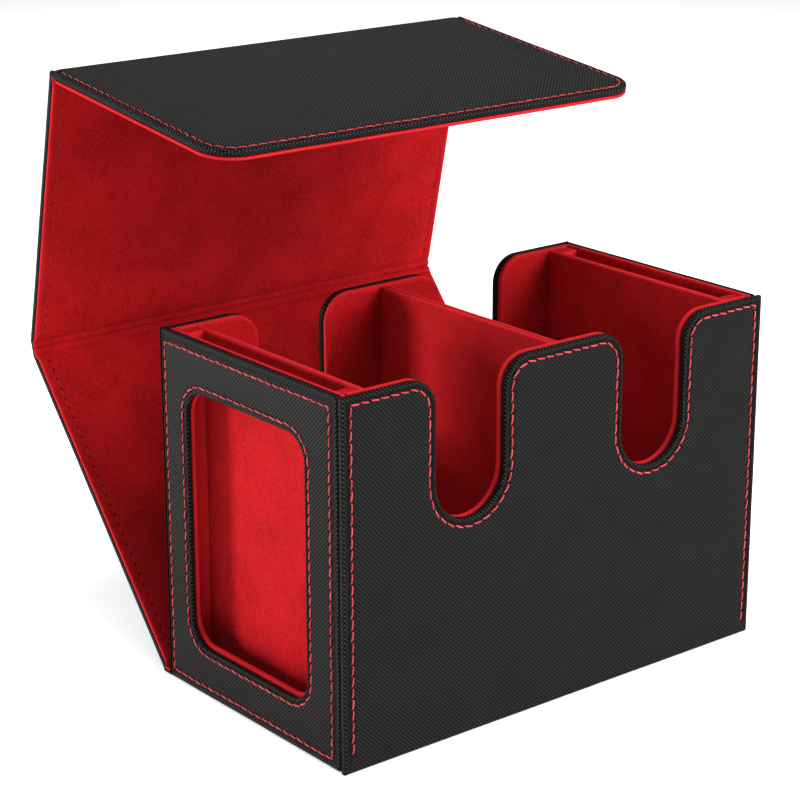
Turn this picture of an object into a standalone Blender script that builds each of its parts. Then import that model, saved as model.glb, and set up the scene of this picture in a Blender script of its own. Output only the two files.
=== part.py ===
"""Double deck box: a lined card box with two deck wells, two windowed display slots and a wrap-round cover.

Metres, +Z up. X runs along the two long walls, -Y is the front with its thumb notches, and the origin lies under
the middle of the box body, on the surface that it stands on. The cover is modelled folded open.
"""

import math

import bmesh
import bpy

# Box body
body_length = 0.1605
body_depth = 0.0873

# Long walls, front and back: a tray of leatherette with a board in it, closed by a lining
wall_skin = 0.0010
wall_board = 0.0013
wall_lining = 0.0019
wall_rim_radius = 0.0008

# End walls, built the same way
end_skin = 0.0007
end_board = 0.0007
end_lining = 0.0017
end_rim_radius = 0.0005

# What every layer keeps to its neighbour, and the rounding of every lining
glue_line = 0.0002
lining_rim_radius = 0.0005

# Thumb notches, two in each long wall
notch_width = 0.0250
notch_depth = 0.0440
notch_centre = 0.0352
tab_corner_radius = 0.0090

# Windows in the end walls
window_width = 0.0565
window_height = 0.0793
window_sill = 0.0150
window_top_rail = 0.0157
window_shift = 0.0024
window_corner_radius = 0.0078

# Base
base_skin_thickness = 0.0009
base_board_thickness = 0.0016
base_rim_radius = 0.0003
floor_lining = 0.0015

# Display slots and the pocket panels behind them
slot_gap = 0.0062
slot_spacer_width = 0.0043
panel_board = 0.0010
panel_wrap = 0.0005
panel_top_drop = 0.0005
panel_top_radius = 0.0009

# Centre divider, two lined panels back to back
divider_panel = 0.0016
divider_top_radius = 0.0007

# Cover panels, built like the walls
cover_skin = 0.0009
cover_board = 0.0009
cover_lining = 0.0012
cover_rim_radius = 0.0007
back_clearance = 0.0003
front_clearance = 0.0003
lid_clearance = 0.0006
flap_length = 0.0876
flap_corner_radius = 0.0110

# Crease across the back panel, where its two boards meet
crease_height = 0.0700
crease_groove_width = 0.0030
crease_groove_depth = 0.0004
crease_board_gap = 0.0012

# Folds
fold_skin_radius = 0.0009
fold_strip_width = 0.0050
strip_lining_start = 0.0006
strip_lining_width = 0.0034
strip_lining_thickness = 0.0008
panel_fold_gap = 0.0015
rear_lining_gap = 0.0017
front_lining_gap = 0.0013
flap_lining_gap = 0.0028

# The open cover, in degrees: the back panel's rise, then how far it bends at each fold
back_panel_rise = 50.0
strip_lower_bend = 26.0
strip_upper_bend = 26.4
flap_bend = 84.6

# How far the fold strip's lower edge bends when the cover is shut, in degrees
strip_shut_bend = 40.0

# Closing magnets
magnet_diameter = 0.0100
magnet_thickness = 0.0008
magnet_spread = 0.0960
magnet_edge_distance = 0.0130
magnet_clearance = 0.0003

# Modelling
cut_overrun = 0.0010
weld_distance = 0.000002
arc_step = 11.25
smooth_angle = 40.0
rim_segments = 2
magnet_sides = 32
fold_sides = 16

# Finishes
leatherette_colour = (0.022, 0.022, 0.023)
microfibre_colour = (0.50, 0.008, 0.014)
greyboard_colour = (0.42, 0.37, 0.30)
plating_colour = (0.60, 0.60, 0.62)

# Depths through the walls, from outside to inside
wall_tray = wall_skin + glue_line + wall_board
wall_total = wall_tray + glue_line + wall_lining
end_tray = end_skin + glue_line + end_board
end_total = end_tray + glue_line + end_lining
cover_tray = cover_skin + glue_line + cover_board
cover_total = cover_tray + glue_line + cover_lining
panel_total = panel_board + 2 * (panel_wrap + glue_line)

# Levels. The walls are as high as the window and its rails
body_height = window_sill + window_height + window_top_rail
shell_bottom = base_skin_thickness + glue_line
inner_bottom = shell_bottom + base_board_thickness + glue_line
floor_top = inner_bottom + floor_lining
panel_top = body_height - panel_top_drop

# Plan, from the middle outwards
half_length = body_length / 2
half_depth = body_depth / 2
divider_face = glue_line / 2 + divider_panel
slot_outer = half_length - end_total
slot_inner = slot_outer - slot_gap
well_outer = slot_inner - panel_total
tray_half_depth = half_depth - wall_tray - glue_line
inner_half_depth = half_depth - wall_total
board_half_length = half_length - end_tray - glue_line
insert_half_depth = inner_half_depth - glue_line
lining_half_length = slot_outer - glue_line
slot_half_length = insert_half_depth - slot_spacer_width

# Fold axes. Shut, the cover lies close to the back wall, over the top and down the front
base_axis_y = half_depth + back_clearance + cover_total - fold_skin_radius
base_axis_z = fold_skin_radius
shut_top_z = body_height + lid_clearance + cover_total - fold_skin_radius
shut_front_y = half_depth + front_clearance + cover_total - fold_skin_radius
shut_strip_rise = fold_strip_width * math.cos(math.radians(strip_shut_bend))
shut_strip_run = fold_strip_width * math.sin(math.radians(strip_shut_bend))
back_panel_length = shut_top_z - base_axis_z - shut_strip_rise
lid_length = base_axis_y + shut_front_y - shut_strip_run
shut_magnet_z = shut_top_z - flap_length + magnet_edge_distance

# Depths in the cover, from its fold axes
cover_outer = -fold_skin_radius
cover_lining_start = cover_outer + cover_tray + glue_line
cover_inner = cover_outer + cover_total

# Turns that stand a flat outline up as a wall, in degrees
facing_back = (90, 0, 180)
facing_front = (90, 0, 0)
facing_right = (90, 0, 90)
facing_left = (90, 0, -90)
lying_flat = (0, 0, 0)


def clear_scene():
    """Removes the objects that the scene starts with."""
    for found in list(bpy.data.objects):
        bpy.data.objects.remove(found, do_unlink=True)


def collection_named(name):
    """A new collection in the scene."""
    made = bpy.data.collections.new(name)
    bpy.context.scene.collection.children.link(made)
    return made


def frame_at(name, parent, location, turn):
    """An empty that holds a wall's or a panel's own frame: its local +Z runs from the outside inwards."""
    made = bpy.data.objects.new(name, None)
    parts.objects.link(made)
    made.parent = parent
    made.location = location
    made.rotation_euler = [math.radians(angle) for angle in turn]
    made.empty_display_size = wall_total
    return made


def finish(name, colour, roughness, metallic):
    """A plain Principled finish for one piece."""
    material = bpy.data.materials.new(name)
    material.use_nodes = True
    shader = material.node_tree.nodes["Principled BSDF"]
    shader.inputs["Base Color"].default_value = (*colour, 1)
    shader.inputs["Roughness"].default_value = roughness
    shader.inputs["Metallic"].default_value = metallic
    material.diffuse_color = (*colour, 1)
    return material


def leatherette(name):
    """Finish of the outer skins."""
    return finish(name + "_leatherette", leatherette_colour, 0.55, 0)


def microfibre(name):
    """Finish of the linings."""
    return finish(name + "_microfibre", microfibre_colour, 0.95, 0)


def greyboard(name):
    """Finish of the stiffener boards."""
    return finish(name + "_greyboard", greyboard_colour, 0.9, 0)


def plating(name):
    """Finish of the magnets."""
    return finish(name + "_plating", plating_colour, 0.3, 1)


def arc(centre, radius, start, end):
    """Points along an arc between two angles in degrees, both ends included."""
    steps = max(2, round(abs(end - start) / arc_step))
    angles = [math.radians(start + (end - start) * step / steps) for step in range(steps + 1)]
    return [(centre[0] + radius * math.cos(a), centre[1] + radius * math.sin(a)) for a in angles]


def rectangle(left, right, bottom, top, radii=(0, 0, 0, 0)):
    """A rectangle, anticlockwise from its lower left corner, each corner with its own radius."""
    corners = ((left, bottom, 1, 1), (right, bottom, -1, 1), (right, top, -1, -1), (left, top, 1, -1))
    points = []
    for index, ((x, y, inward_x, inward_y), radius) in enumerate(zip(corners, radii)):
        if radius > 0:
            start = 180 + 90 * index
            points += arc((x + inward_x * radius, y + inward_y * radius), radius, start, start + 90)
        else:
            points.append((x, y))
    return points


def hole(centre, radius):
    """A round hole, clockwise."""
    return arc(centre, radius, 360, 0)[:-1]


def notched_wall(bottom, half_width, inset=0.0):
    """Outline of a long wall with its thumb notches, drawn in by an inset."""
    side = half_width - inset
    top = body_height - inset
    notch_radius = notch_width / 2 + inset
    round_height = body_height - notch_depth + notch_width / 2
    tab_radius = tab_corner_radius - inset
    points = [(-side, bottom + inset), (side, bottom + inset), (side, top)]
    for centre in (notch_centre, -notch_centre):
        reach = notch_radius + tab_radius
        points += arc((centre + reach, top - tab_radius), tab_radius, 90, 180)
        points += arc((centre, round_height), notch_radius, 0, -180)
        points += arc((centre - reach, top - tab_radius), tab_radius, 0, 90)
    return [points + [(-side, top)]]


def windowed_wall(bottom, back, side_sign, inset=0.0, corner=0.0):
    """Outlines of an end wall, as far back as given, and of its window, drawn in by an inset."""
    left, right = sorted((side_sign * (inset - tray_half_depth), side_sign * (back - inset)))
    window = rectangle(
        side_sign * window_shift - window_width / 2 - inset,
        side_sign * window_shift + window_width / 2 + inset,
        window_sill - inset,
        window_sill + window_height + inset,
        (window_corner_radius + inset,) * 4,
    )
    return [rectangle(left, right, bottom + inset, body_height - inset, (corner,) * 4), window[::-1]]


def cover_panel(start, end, corner_radius=0.0, inset=0.0):
    """Outline of a cover panel between two distances from its fold axis, drawn in by an inset."""
    side = half_length - inset
    corner = max(corner_radius - inset, 0)
    return [rectangle(-side, side, start + inset, end - inset, (0, 0, corner, corner))]


def plate_mesh(name, outlines, thickness, rim=0.0):
    """A flat plate from closed outlines in XY, centred on Z, its rims rounded."""
    curve = bpy.data.curves.new(name, "CURVE")
    curve.dimensions = "2D"
    curve.fill_mode = "BOTH"
    curve.extrude = thickness / 2 - rim
    curve.bevel_depth = rim
    curve.bevel_resolution = rim_segments - 1
    curve.offset = -rim
    for outline in outlines:
        spline = curve.splines.new("POLY")
        spline.points.add(len(outline) - 1)
        for point, (x, y) in zip(spline.points, outline):
            point.co = (x, y, 0, 1)
        spline.use_cyclic_u = True
    source = bpy.data.objects.new(name, curve)
    parts.objects.link(source)
    graph = bpy.context.evaluated_depsgraph_get()
    mesh = bpy.data.meshes.new_from_object(source.evaluated_get(graph))
    bpy.data.objects.remove(source, do_unlink=True)
    bpy.data.curves.remove(curve)
    shape = bmesh.new()
    shape.from_mesh(mesh)
    bmesh.ops.remove_doubles(shape, verts=shape.verts, dist=weld_distance)
    bmesh.ops.recalc_face_normals(shape, faces=shape.faces)
    shape.to_mesh(mesh)
    shape.free()
    mesh.name = name
    return mesh


def round_mesh(name, radius, length, sides):
    """A cylinder along Z, centred."""
    mesh = bpy.data.meshes.new(name)
    shape = bmesh.new()
    bmesh.ops.create_cone(
        shape, cap_ends=True, segments=sides, radius1=radius, radius2=radius, depth=length
    )
    shape.to_mesh(mesh)
    shape.free()
    return mesh


def place(made, frame, location, turn):
    """Puts an object in its frame."""
    made.parent = frame
    made.location = location
    made.rotation_euler = [math.radians(angle) for angle in turn]
    return made


def piece(name, mesh, material, frame, location=(0, 0, 0), turn=lying_flat):
    """One named piece of the box, in its frame."""
    made = bpy.data.objects.new(name, mesh)
    parts.objects.link(made)
    mesh.materials.clear()
    mesh.materials.append(material(name))
    mesh.shade_smooth()
    mesh.set_sharp_from_angle(angle=math.radians(smooth_angle))
    return place(made, frame, location, turn)


def cut(target, name, mesh, frame, location=(0, 0, 0), turn=lying_flat):
    """Cuts a shape out of a piece."""
    cutter = bpy.data.objects.new(name, mesh)
    cutters.objects.link(cutter)
    cutter.hide_render = True
    cutter.display_type = "WIRE"
    place(cutter, frame, location, turn)
    modifier = target.modifiers.new(name, "BOOLEAN")
    modifier.operation = "DIFFERENCE"
    modifier.solver = "EXACT"
    modifier.object = cutter


def sheet(name, material, frame, outlines, depth, thickness, rim=0.0):
    """A flat layer of a wall, at a depth from the wall's outside."""
    mesh = plate_mesh(name, outlines, thickness, rim)
    return piece(name, mesh, material, frame, (0, 0, depth + thickness / 2))


def bar(name, material, frame, outline, length, rim=0.0, turn=lying_flat):
    """A section extruded both ways from its frame."""
    return piece(name, plate_mesh(name, [outline], length, rim), material, frame, turn=turn)


def tray(name, frame, outlines, recess, depth, skin, total, rim):
    """A leatherette skin with turned edges: an open tray that a board lies in."""
    made = sheet(name, leatherette, frame, outlines, depth, total, rim)
    cut_depth = total - skin + cut_overrun
    mesh = plate_mesh(name + "_recess", recess, cut_depth)
    cut(made, name + "_recess", mesh, frame, (0, 0, depth + skin + cut_depth / 2))
    return made


def magnet_holes(height):
    """Round holes for a pair of magnets at a height."""
    radius = magnet_diameter / 2 + magnet_clearance
    return [hole((side * magnet_spread / 2, height), radius) for side in (-1, 1)]


def magnets(prefix, frame, height, depth):
    """A pair of disc magnets in a board."""
    for side, label in ((-1, "left"), (1, "right")):
        name = prefix + "_magnet_" + label
        mesh = round_mesh(name, magnet_diameter / 2, magnet_thickness, magnet_sides)
        piece(name, mesh, plating, frame, (side * magnet_spread / 2, height, depth))


def build_front_wall(body):
    """Front wall, which reaches down past the base skin, with the magnets that hold the flap."""
    frame = frame_at("front_wall_frame", body, (0, -half_depth, 0), facing_back)
    board_inset = wall_skin + glue_line
    outer = notched_wall(0, half_length)
    recess = notched_wall(0, half_length, wall_skin)
    board = notched_wall(0, half_length, board_inset) + magnet_holes(shut_magnet_z)
    lining = notched_wall(inner_bottom, lining_half_length)
    tray("front_skin", frame, outer, recess, 0, wall_skin, wall_tray, wall_rim_radius)
    sheet("front_board", greyboard, frame, board, board_inset, wall_board)
    sheet("front_lining", microfibre, frame, lining, wall_tray + glue_line, wall_lining, lining_rim_radius)
    magnets("front_wall", frame, shut_magnet_z, board_inset + wall_board / 2)


def build_back_wall(body):
    """Back wall, the front wall's twin without magnets, on the base skin and between the end walls' skins."""
    frame = frame_at("back_wall_frame", body, (0, half_depth, 0), facing_front)
    board_inset = wall_skin + glue_line
    outer = notched_wall(shell_bottom, board_half_length)
    recess = notched_wall(shell_bottom, board_half_length, wall_skin)
    board = notched_wall(shell_bottom, board_half_length, board_inset)
    lining = notched_wall(inner_bottom, lining_half_length)
    tray("back_skin", frame, outer, recess, 0, wall_skin, wall_tray, wall_rim_radius)
    sheet("back_board", greyboard, frame, board, board_inset, wall_board)
    sheet("back_lining", microfibre, frame, lining, wall_tray + glue_line, wall_lining, lining_rim_radius)


def build_end_wall(body, label, side, turn):
    """A windowed end wall, whose skin covers the ends of the base skin and the back wall."""
    frame = frame_at(label + "_wall_frame", body, (side * half_length, 0, 0), turn)
    board_inset = end_skin + glue_line
    outer = windowed_wall(0, half_depth, -side, corner=wall_rim_radius)
    recess = windowed_wall(0, half_depth, -side, end_skin)
    board = windowed_wall(0, half_depth, -side, board_inset)
    lining = windowed_wall(inner_bottom, tray_half_depth, -side)
    tray(label + "_skin", frame, outer, recess, 0, end_skin, end_tray, end_rim_radius)
    sheet(label + "_board", greyboard, frame, board, board_inset, end_board)
    sheet(label + "_lining", microfibre, frame, lining, end_tray + glue_line, end_lining, lining_rim_radius)


def build_base(body):
    """Base skin that carries the cover's fold, base board, and the lining pads on it."""
    skin_back = base_axis_y - fold_skin_radius - glue_line
    skin = rectangle(-board_half_length, board_half_length, -tray_half_depth, skin_back)
    board = rectangle(-board_half_length, board_half_length, -tray_half_depth, tray_half_depth)
    sheet("base_skin", leatherette, body, [skin], 0, base_skin_thickness, base_rim_radius)
    sheet("base_board", greyboard, body, [board], shell_bottom, base_board_thickness)
    mesh = round_mesh("base_fold_skin", fold_skin_radius, body_length, fold_sides)
    piece("base_fold_skin", mesh, leatherette, body, (0, base_axis_y, base_axis_z), facing_right)
    well = (divider_face + glue_line, well_outer - glue_line, insert_half_depth)
    slot = (slot_inner + glue_line, slot_outer - glue_line, slot_half_length - glue_line)
    for side, label in ((-1, "left"), (1, "right")):
        for use, (near, far, half_width) in (("deck", well), ("slot", slot)):
            left, right = sorted((side * near, side * far))
            pad = rectangle(left, right, -half_width, half_width)
            sheet(label + "_" + use + "_floor", microfibre, body, [pad], inner_bottom, floor_lining)


def build_pocket(body, label, side):
    """Pocket panel behind a display slot, a board in a folded wrap, and the spacers at the slot's ends."""
    section = frame_at(label + "_pocket_frame", body, (side * (slot_inner + well_outer) / 2, 0, 0), facing_front)
    outer = panel_total / 2
    inner = outer - panel_wrap
    core = inner - glue_line
    inner_top = panel_top - panel_wrap
    wrap = [(-outer, inner_bottom), (-inner, inner_bottom), (-inner, inner_top), (inner, inner_top)]
    wrap += [(inner, inner_bottom), (outer, inner_bottom)]
    wrap += arc((outer - panel_top_radius, panel_top - panel_top_radius), panel_top_radius, 0, 90)
    wrap += arc((panel_top_radius - outer, panel_top - panel_top_radius), panel_top_radius, 90, 180)
    board = rectangle(-core, core, inner_bottom, inner_top - glue_line)
    bar(label + "_pocket_wrap", microfibre, section, wrap, 2 * insert_half_depth)
    bar(label + "_pocket_board", greyboard, section, board, 2 * insert_half_depth)
    near, far = sorted((side * (slot_inner + glue_line), side * (slot_outer - glue_line)))
    for end, end_label in ((-1, "front"), (1, "back")):
        low, high = sorted((end * slot_half_length, end * insert_half_depth))
        spacer = rectangle(near, far, low, high)
        name = label + "_slot_" + end_label + "_spacer"
        sheet(name, microfibre, body, [spacer], inner_bottom, panel_top - inner_bottom, lining_rim_radius)


def build_divider(body):
    """Two lined panels back to back between the deck wells."""
    section = frame_at("divider_frame", body, (0, 0, 0), facing_front)
    for side, label in ((-1, "left"), (1, "right")):
        left, right = sorted((side * glue_line / 2, side * divider_face))
        outline = rectangle(left, right, inner_bottom, panel_top, (0, 0, divider_top_radius, divider_top_radius))
        bar("divider_" + label + "_panel", microfibre, section, outline, 2 * insert_half_depth)


def build_back_panel(frame):
    """Lowest panel of the cover: one skin and one lining over two boards that meet at the crease."""
    start = panel_fold_gap
    end = back_panel_length - panel_fold_gap
    board_inset = cover_skin + glue_line
    board_depth = cover_outer + board_inset
    lower_end = crease_height - crease_board_gap / 2
    upper_start = crease_height + crease_board_gap / 2
    board_side = half_length - board_inset
    lower = rectangle(-board_side, board_side, start + board_inset, lower_end)
    upper = rectangle(-board_side, board_side, upper_start, end - board_inset)
    lining = cover_panel(panel_fold_gap, back_panel_length - rear_lining_gap)
    tray(
        "back_panel_skin",
        frame,
        cover_panel(start, end),
        cover_panel(start, end, 0, cover_skin),
        cover_outer,
        cover_skin,
        cover_tray,
        cover_rim_radius,
    )
    sheet("back_panel_lower_board", greyboard, frame, [lower], board_depth, cover_board)
    sheet("back_panel_upper_board", greyboard, frame, [upper], board_depth, cover_board)
    made = sheet(
        "back_panel_lining", microfibre, frame, lining, cover_lining_start, cover_lining, lining_rim_radius
    )
    radius = (crease_groove_width**2 / 4 + crease_groove_depth**2) / (2 * crease_groove_depth)
    mesh = round_mesh("crease_groove", radius, body_length + cut_overrun, fold_sides * 2)
    centre = (0, crease_height, cover_inner + radius - crease_groove_depth)
    cut(made, "crease_groove", mesh, frame, centre, facing_right)


def build_fold_strip(frame):
    """Narrow boardless strip that bends at both edges between the back panel and the lid top."""
    r = fold_skin_radius
    skin = rectangle(-r, fold_strip_width + r, -r, r, (r,) * 4)
    lining_end = strip_lining_start + strip_lining_width
    corner = lining_rim_radius
    lining_top = r + glue_line + strip_lining_thickness
    lining = rectangle(strip_lining_start, lining_end, r + glue_line, lining_top, (0, 0, corner, corner))
    bar("rear_fold_skin", leatherette, frame, skin, body_length, turn=facing_right)
    bar("rear_fold_lining", microfibre, frame, lining, body_length, turn=facing_right)


def build_lid_top(frame):
    """Top of the cover, with the fold of its skin that carries the flap."""
    end = lid_length - panel_fold_gap
    board_inset = cover_skin + glue_line
    skin = cover_panel(panel_fold_gap, end)
    recess = cover_panel(panel_fold_gap, end, 0, cover_skin)
    board = cover_panel(panel_fold_gap, end, 0, board_inset)
    lining = cover_panel(rear_lining_gap, lid_length - front_lining_gap)
    tray("lid_skin", frame, skin, recess, cover_outer, cover_skin, cover_tray, cover_rim_radius)
    sheet("lid_board", greyboard, frame, board, cover_outer + board_inset, cover_board)
    sheet("lid_lining", microfibre, frame, lining, cover_lining_start, cover_lining, lining_rim_radius)
    mesh = round_mesh("front_fold_skin", fold_skin_radius, body_length, fold_sides)
    piece("front_fold_skin", mesh, leatherette, frame, (0, lid_length, 0), facing_right)


def build_flap(frame):
    """Front flap with rounded corners and the magnets that hold it shut."""
    board_inset = cover_skin + glue_line
    board_depth = cover_outer + board_inset
    corner = flap_corner_radius
    magnet_distance = flap_length - magnet_edge_distance
    skin = cover_panel(panel_fold_gap, flap_length, corner)
    recess = cover_panel(panel_fold_gap, flap_length, corner, cover_skin)
    board = cover_panel(panel_fold_gap, flap_length, corner, board_inset) + magnet_holes(magnet_distance)
    lining = cover_panel(flap_lining_gap, flap_length, corner)
    tray("flap_skin", frame, skin, recess, cover_outer, cover_skin, cover_tray, cover_rim_radius)
    sheet("flap_board", greyboard, frame, board, board_depth, cover_board)
    sheet("flap_lining", microfibre, frame, lining, cover_lining_start, cover_lining, lining_rim_radius)
    magnets("flap", frame, magnet_distance, board_depth + cover_board / 2)


def build_cover(body):
    """The cover's panels, each in a frame on its fold axis."""
    base_hinge = frame_at("base_hinge", body, (0, base_axis_y, base_axis_z), (back_panel_rise, 0, 0))
    strip_hinge = frame_at("strip_hinge", base_hinge, (0, back_panel_length, 0), (strip_lower_bend, 0, 0))
    lid_hinge = frame_at("lid_hinge", strip_hinge, (0, fold_strip_width, 0), (strip_upper_bend, 0, 0))
    flap_hinge = frame_at("flap_hinge", lid_hinge, (0, lid_length, 0), (flap_bend, 0, 0))
    build_back_panel(base_hinge)
    build_fold_strip(strip_hinge)
    build_lid_top(lid_hinge)
    build_flap(flap_hinge)
    bpy.context.view_layer.update()
    for frame in (base_hinge, strip_hinge, lid_hinge, flap_hinge):
        where = [round(value, 6) for value in frame.matrix_world.translation]
        print(frame.name, "axis passes through", where)


clear_scene()
parts = collection_named("double_deck_box")
cutters = collection_named("cutters")
box_body = frame_at("box_body", None, (0, 0, 0), lying_flat)
build_front_wall(box_body)
build_back_wall(box_body)
build_end_wall(box_body, "left", -1, facing_right)
build_end_wall(box_body, "right", 1, facing_left)
build_base(box_body)
build_pocket(box_body, "left", -1)
build_pocket(box_body, "right", 1)
build_divider(box_body)
build_cover(box_body)
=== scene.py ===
"""Looks of the double deck box: leatherette panels over board, microfibre linings and red sewing.

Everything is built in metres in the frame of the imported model, and rides on the body that carries it.
"""

import logging
import math
from abc import ABC, abstractmethod
from collections.abc import Iterable, Mapping, Sequence
from dataclasses import dataclass, field
from enum import Enum

import bmesh
import bpy
import numpy as np
from mathutils import Matrix, Vector, noise
from mathutils.geometry import tessellate_polygon


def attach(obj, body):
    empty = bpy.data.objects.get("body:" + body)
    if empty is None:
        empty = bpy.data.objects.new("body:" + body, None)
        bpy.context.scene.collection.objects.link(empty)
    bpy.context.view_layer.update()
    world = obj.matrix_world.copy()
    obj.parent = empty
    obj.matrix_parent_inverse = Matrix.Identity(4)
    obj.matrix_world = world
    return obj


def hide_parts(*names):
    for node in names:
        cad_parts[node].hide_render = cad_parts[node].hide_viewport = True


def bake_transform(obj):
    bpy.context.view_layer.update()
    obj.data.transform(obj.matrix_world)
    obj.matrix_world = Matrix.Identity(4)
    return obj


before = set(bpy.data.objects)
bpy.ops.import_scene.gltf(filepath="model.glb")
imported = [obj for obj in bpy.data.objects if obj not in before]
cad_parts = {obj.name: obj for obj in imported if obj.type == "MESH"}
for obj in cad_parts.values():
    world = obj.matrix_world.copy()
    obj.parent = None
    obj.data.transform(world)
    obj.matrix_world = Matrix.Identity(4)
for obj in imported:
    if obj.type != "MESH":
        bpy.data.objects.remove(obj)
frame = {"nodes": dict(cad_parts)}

log = logging.getLogger("double_deck_box")

MM = 0.001
Pair = tuple[float, float]
Triple = tuple[float, float, float]


class Side(Enum):
    """The two ends of the box."""

    LEFT = -1
    RIGHT = 1

    @property
    def label(self) -> str:
        """The side's name inside node names."""
        return self.name.lower()


class Slot(Enum):
    """The record's material slots."""

    LEATHERETTE = "black_leatherette"
    MICROFIBRE = "red_microfibre"
    GREYBOARD = "greyboard"
    PLATING = "magnet_plating"


class Body(Enum):
    """The bodies of the frame."""

    BOX = "box"
    BACK_PANEL = "back_panel"
    REAR_FOLD = "rear_fold"
    LID = "lid"
    FLAP = "flap"


# ---------------------------------------------------------------- shader maths


class Value:
    """A number that varies over a surface, carried by a node's socket."""

    def __init__(self, graph: "Graph", socket: bpy.types.NodeSocket) -> None:
        """Wraps a socket.

        Args:
            graph: the node graph that the socket belongs to.
            socket: an output socket that carries one number.
        """
        self.graph = graph
        self.socket = socket

    def __add__(self, other: "Value | float") -> "Value":
        """Sum."""
        return self.graph.math("ADD", self, other)

    def __radd__(self, other: float) -> "Value":
        """Sum with a plain number first."""
        return self.graph.math("ADD", other, self)

    def __sub__(self, other: "Value | float") -> "Value":
        """Difference."""
        return self.graph.math("SUBTRACT", self, other)

    def __rsub__(self, other: float) -> "Value":
        """Difference from a plain number."""
        return self.graph.math("SUBTRACT", other, self)

    def __mul__(self, other: "Value | float") -> "Value":
        """Product."""
        return self.graph.math("MULTIPLY", self, other)

    def __rmul__(self, other: float) -> "Value":
        """Product with a plain number first."""
        return self.graph.math("MULTIPLY", other, self)

    def cosine(self) -> "Value":
        """Cosine of a number of whole turns."""
        return self.graph.math("COSINE", self * math.tau)

    def fraction(self) -> "Value":
        """What is left after the whole number below."""
        return self.graph.math("FRACT", self)

    def root(self) -> "Value":
        """Square root."""
        return self.graph.math("SQRT", self)

    def step(self, low: float, high: float) -> "Value":
        """A smooth rise from 0 at low to 1 at high, or a fall where low is above high."""
        settings = {"interpolation_type": "SMOOTHSTEP"}
        inputs = {0: self, 1: min(low, high), 2: max(low, high)}
        inputs |= {3: 0.0, 4: 1.0} if low < high else {3: 1.0, 4: 0.0}
        return Value(self.graph, self.graph.node("ShaderNodeMapRange", settings, inputs).outputs[0])


Colour = bpy.types.NodeSocket | tuple[float, float, float]


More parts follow.
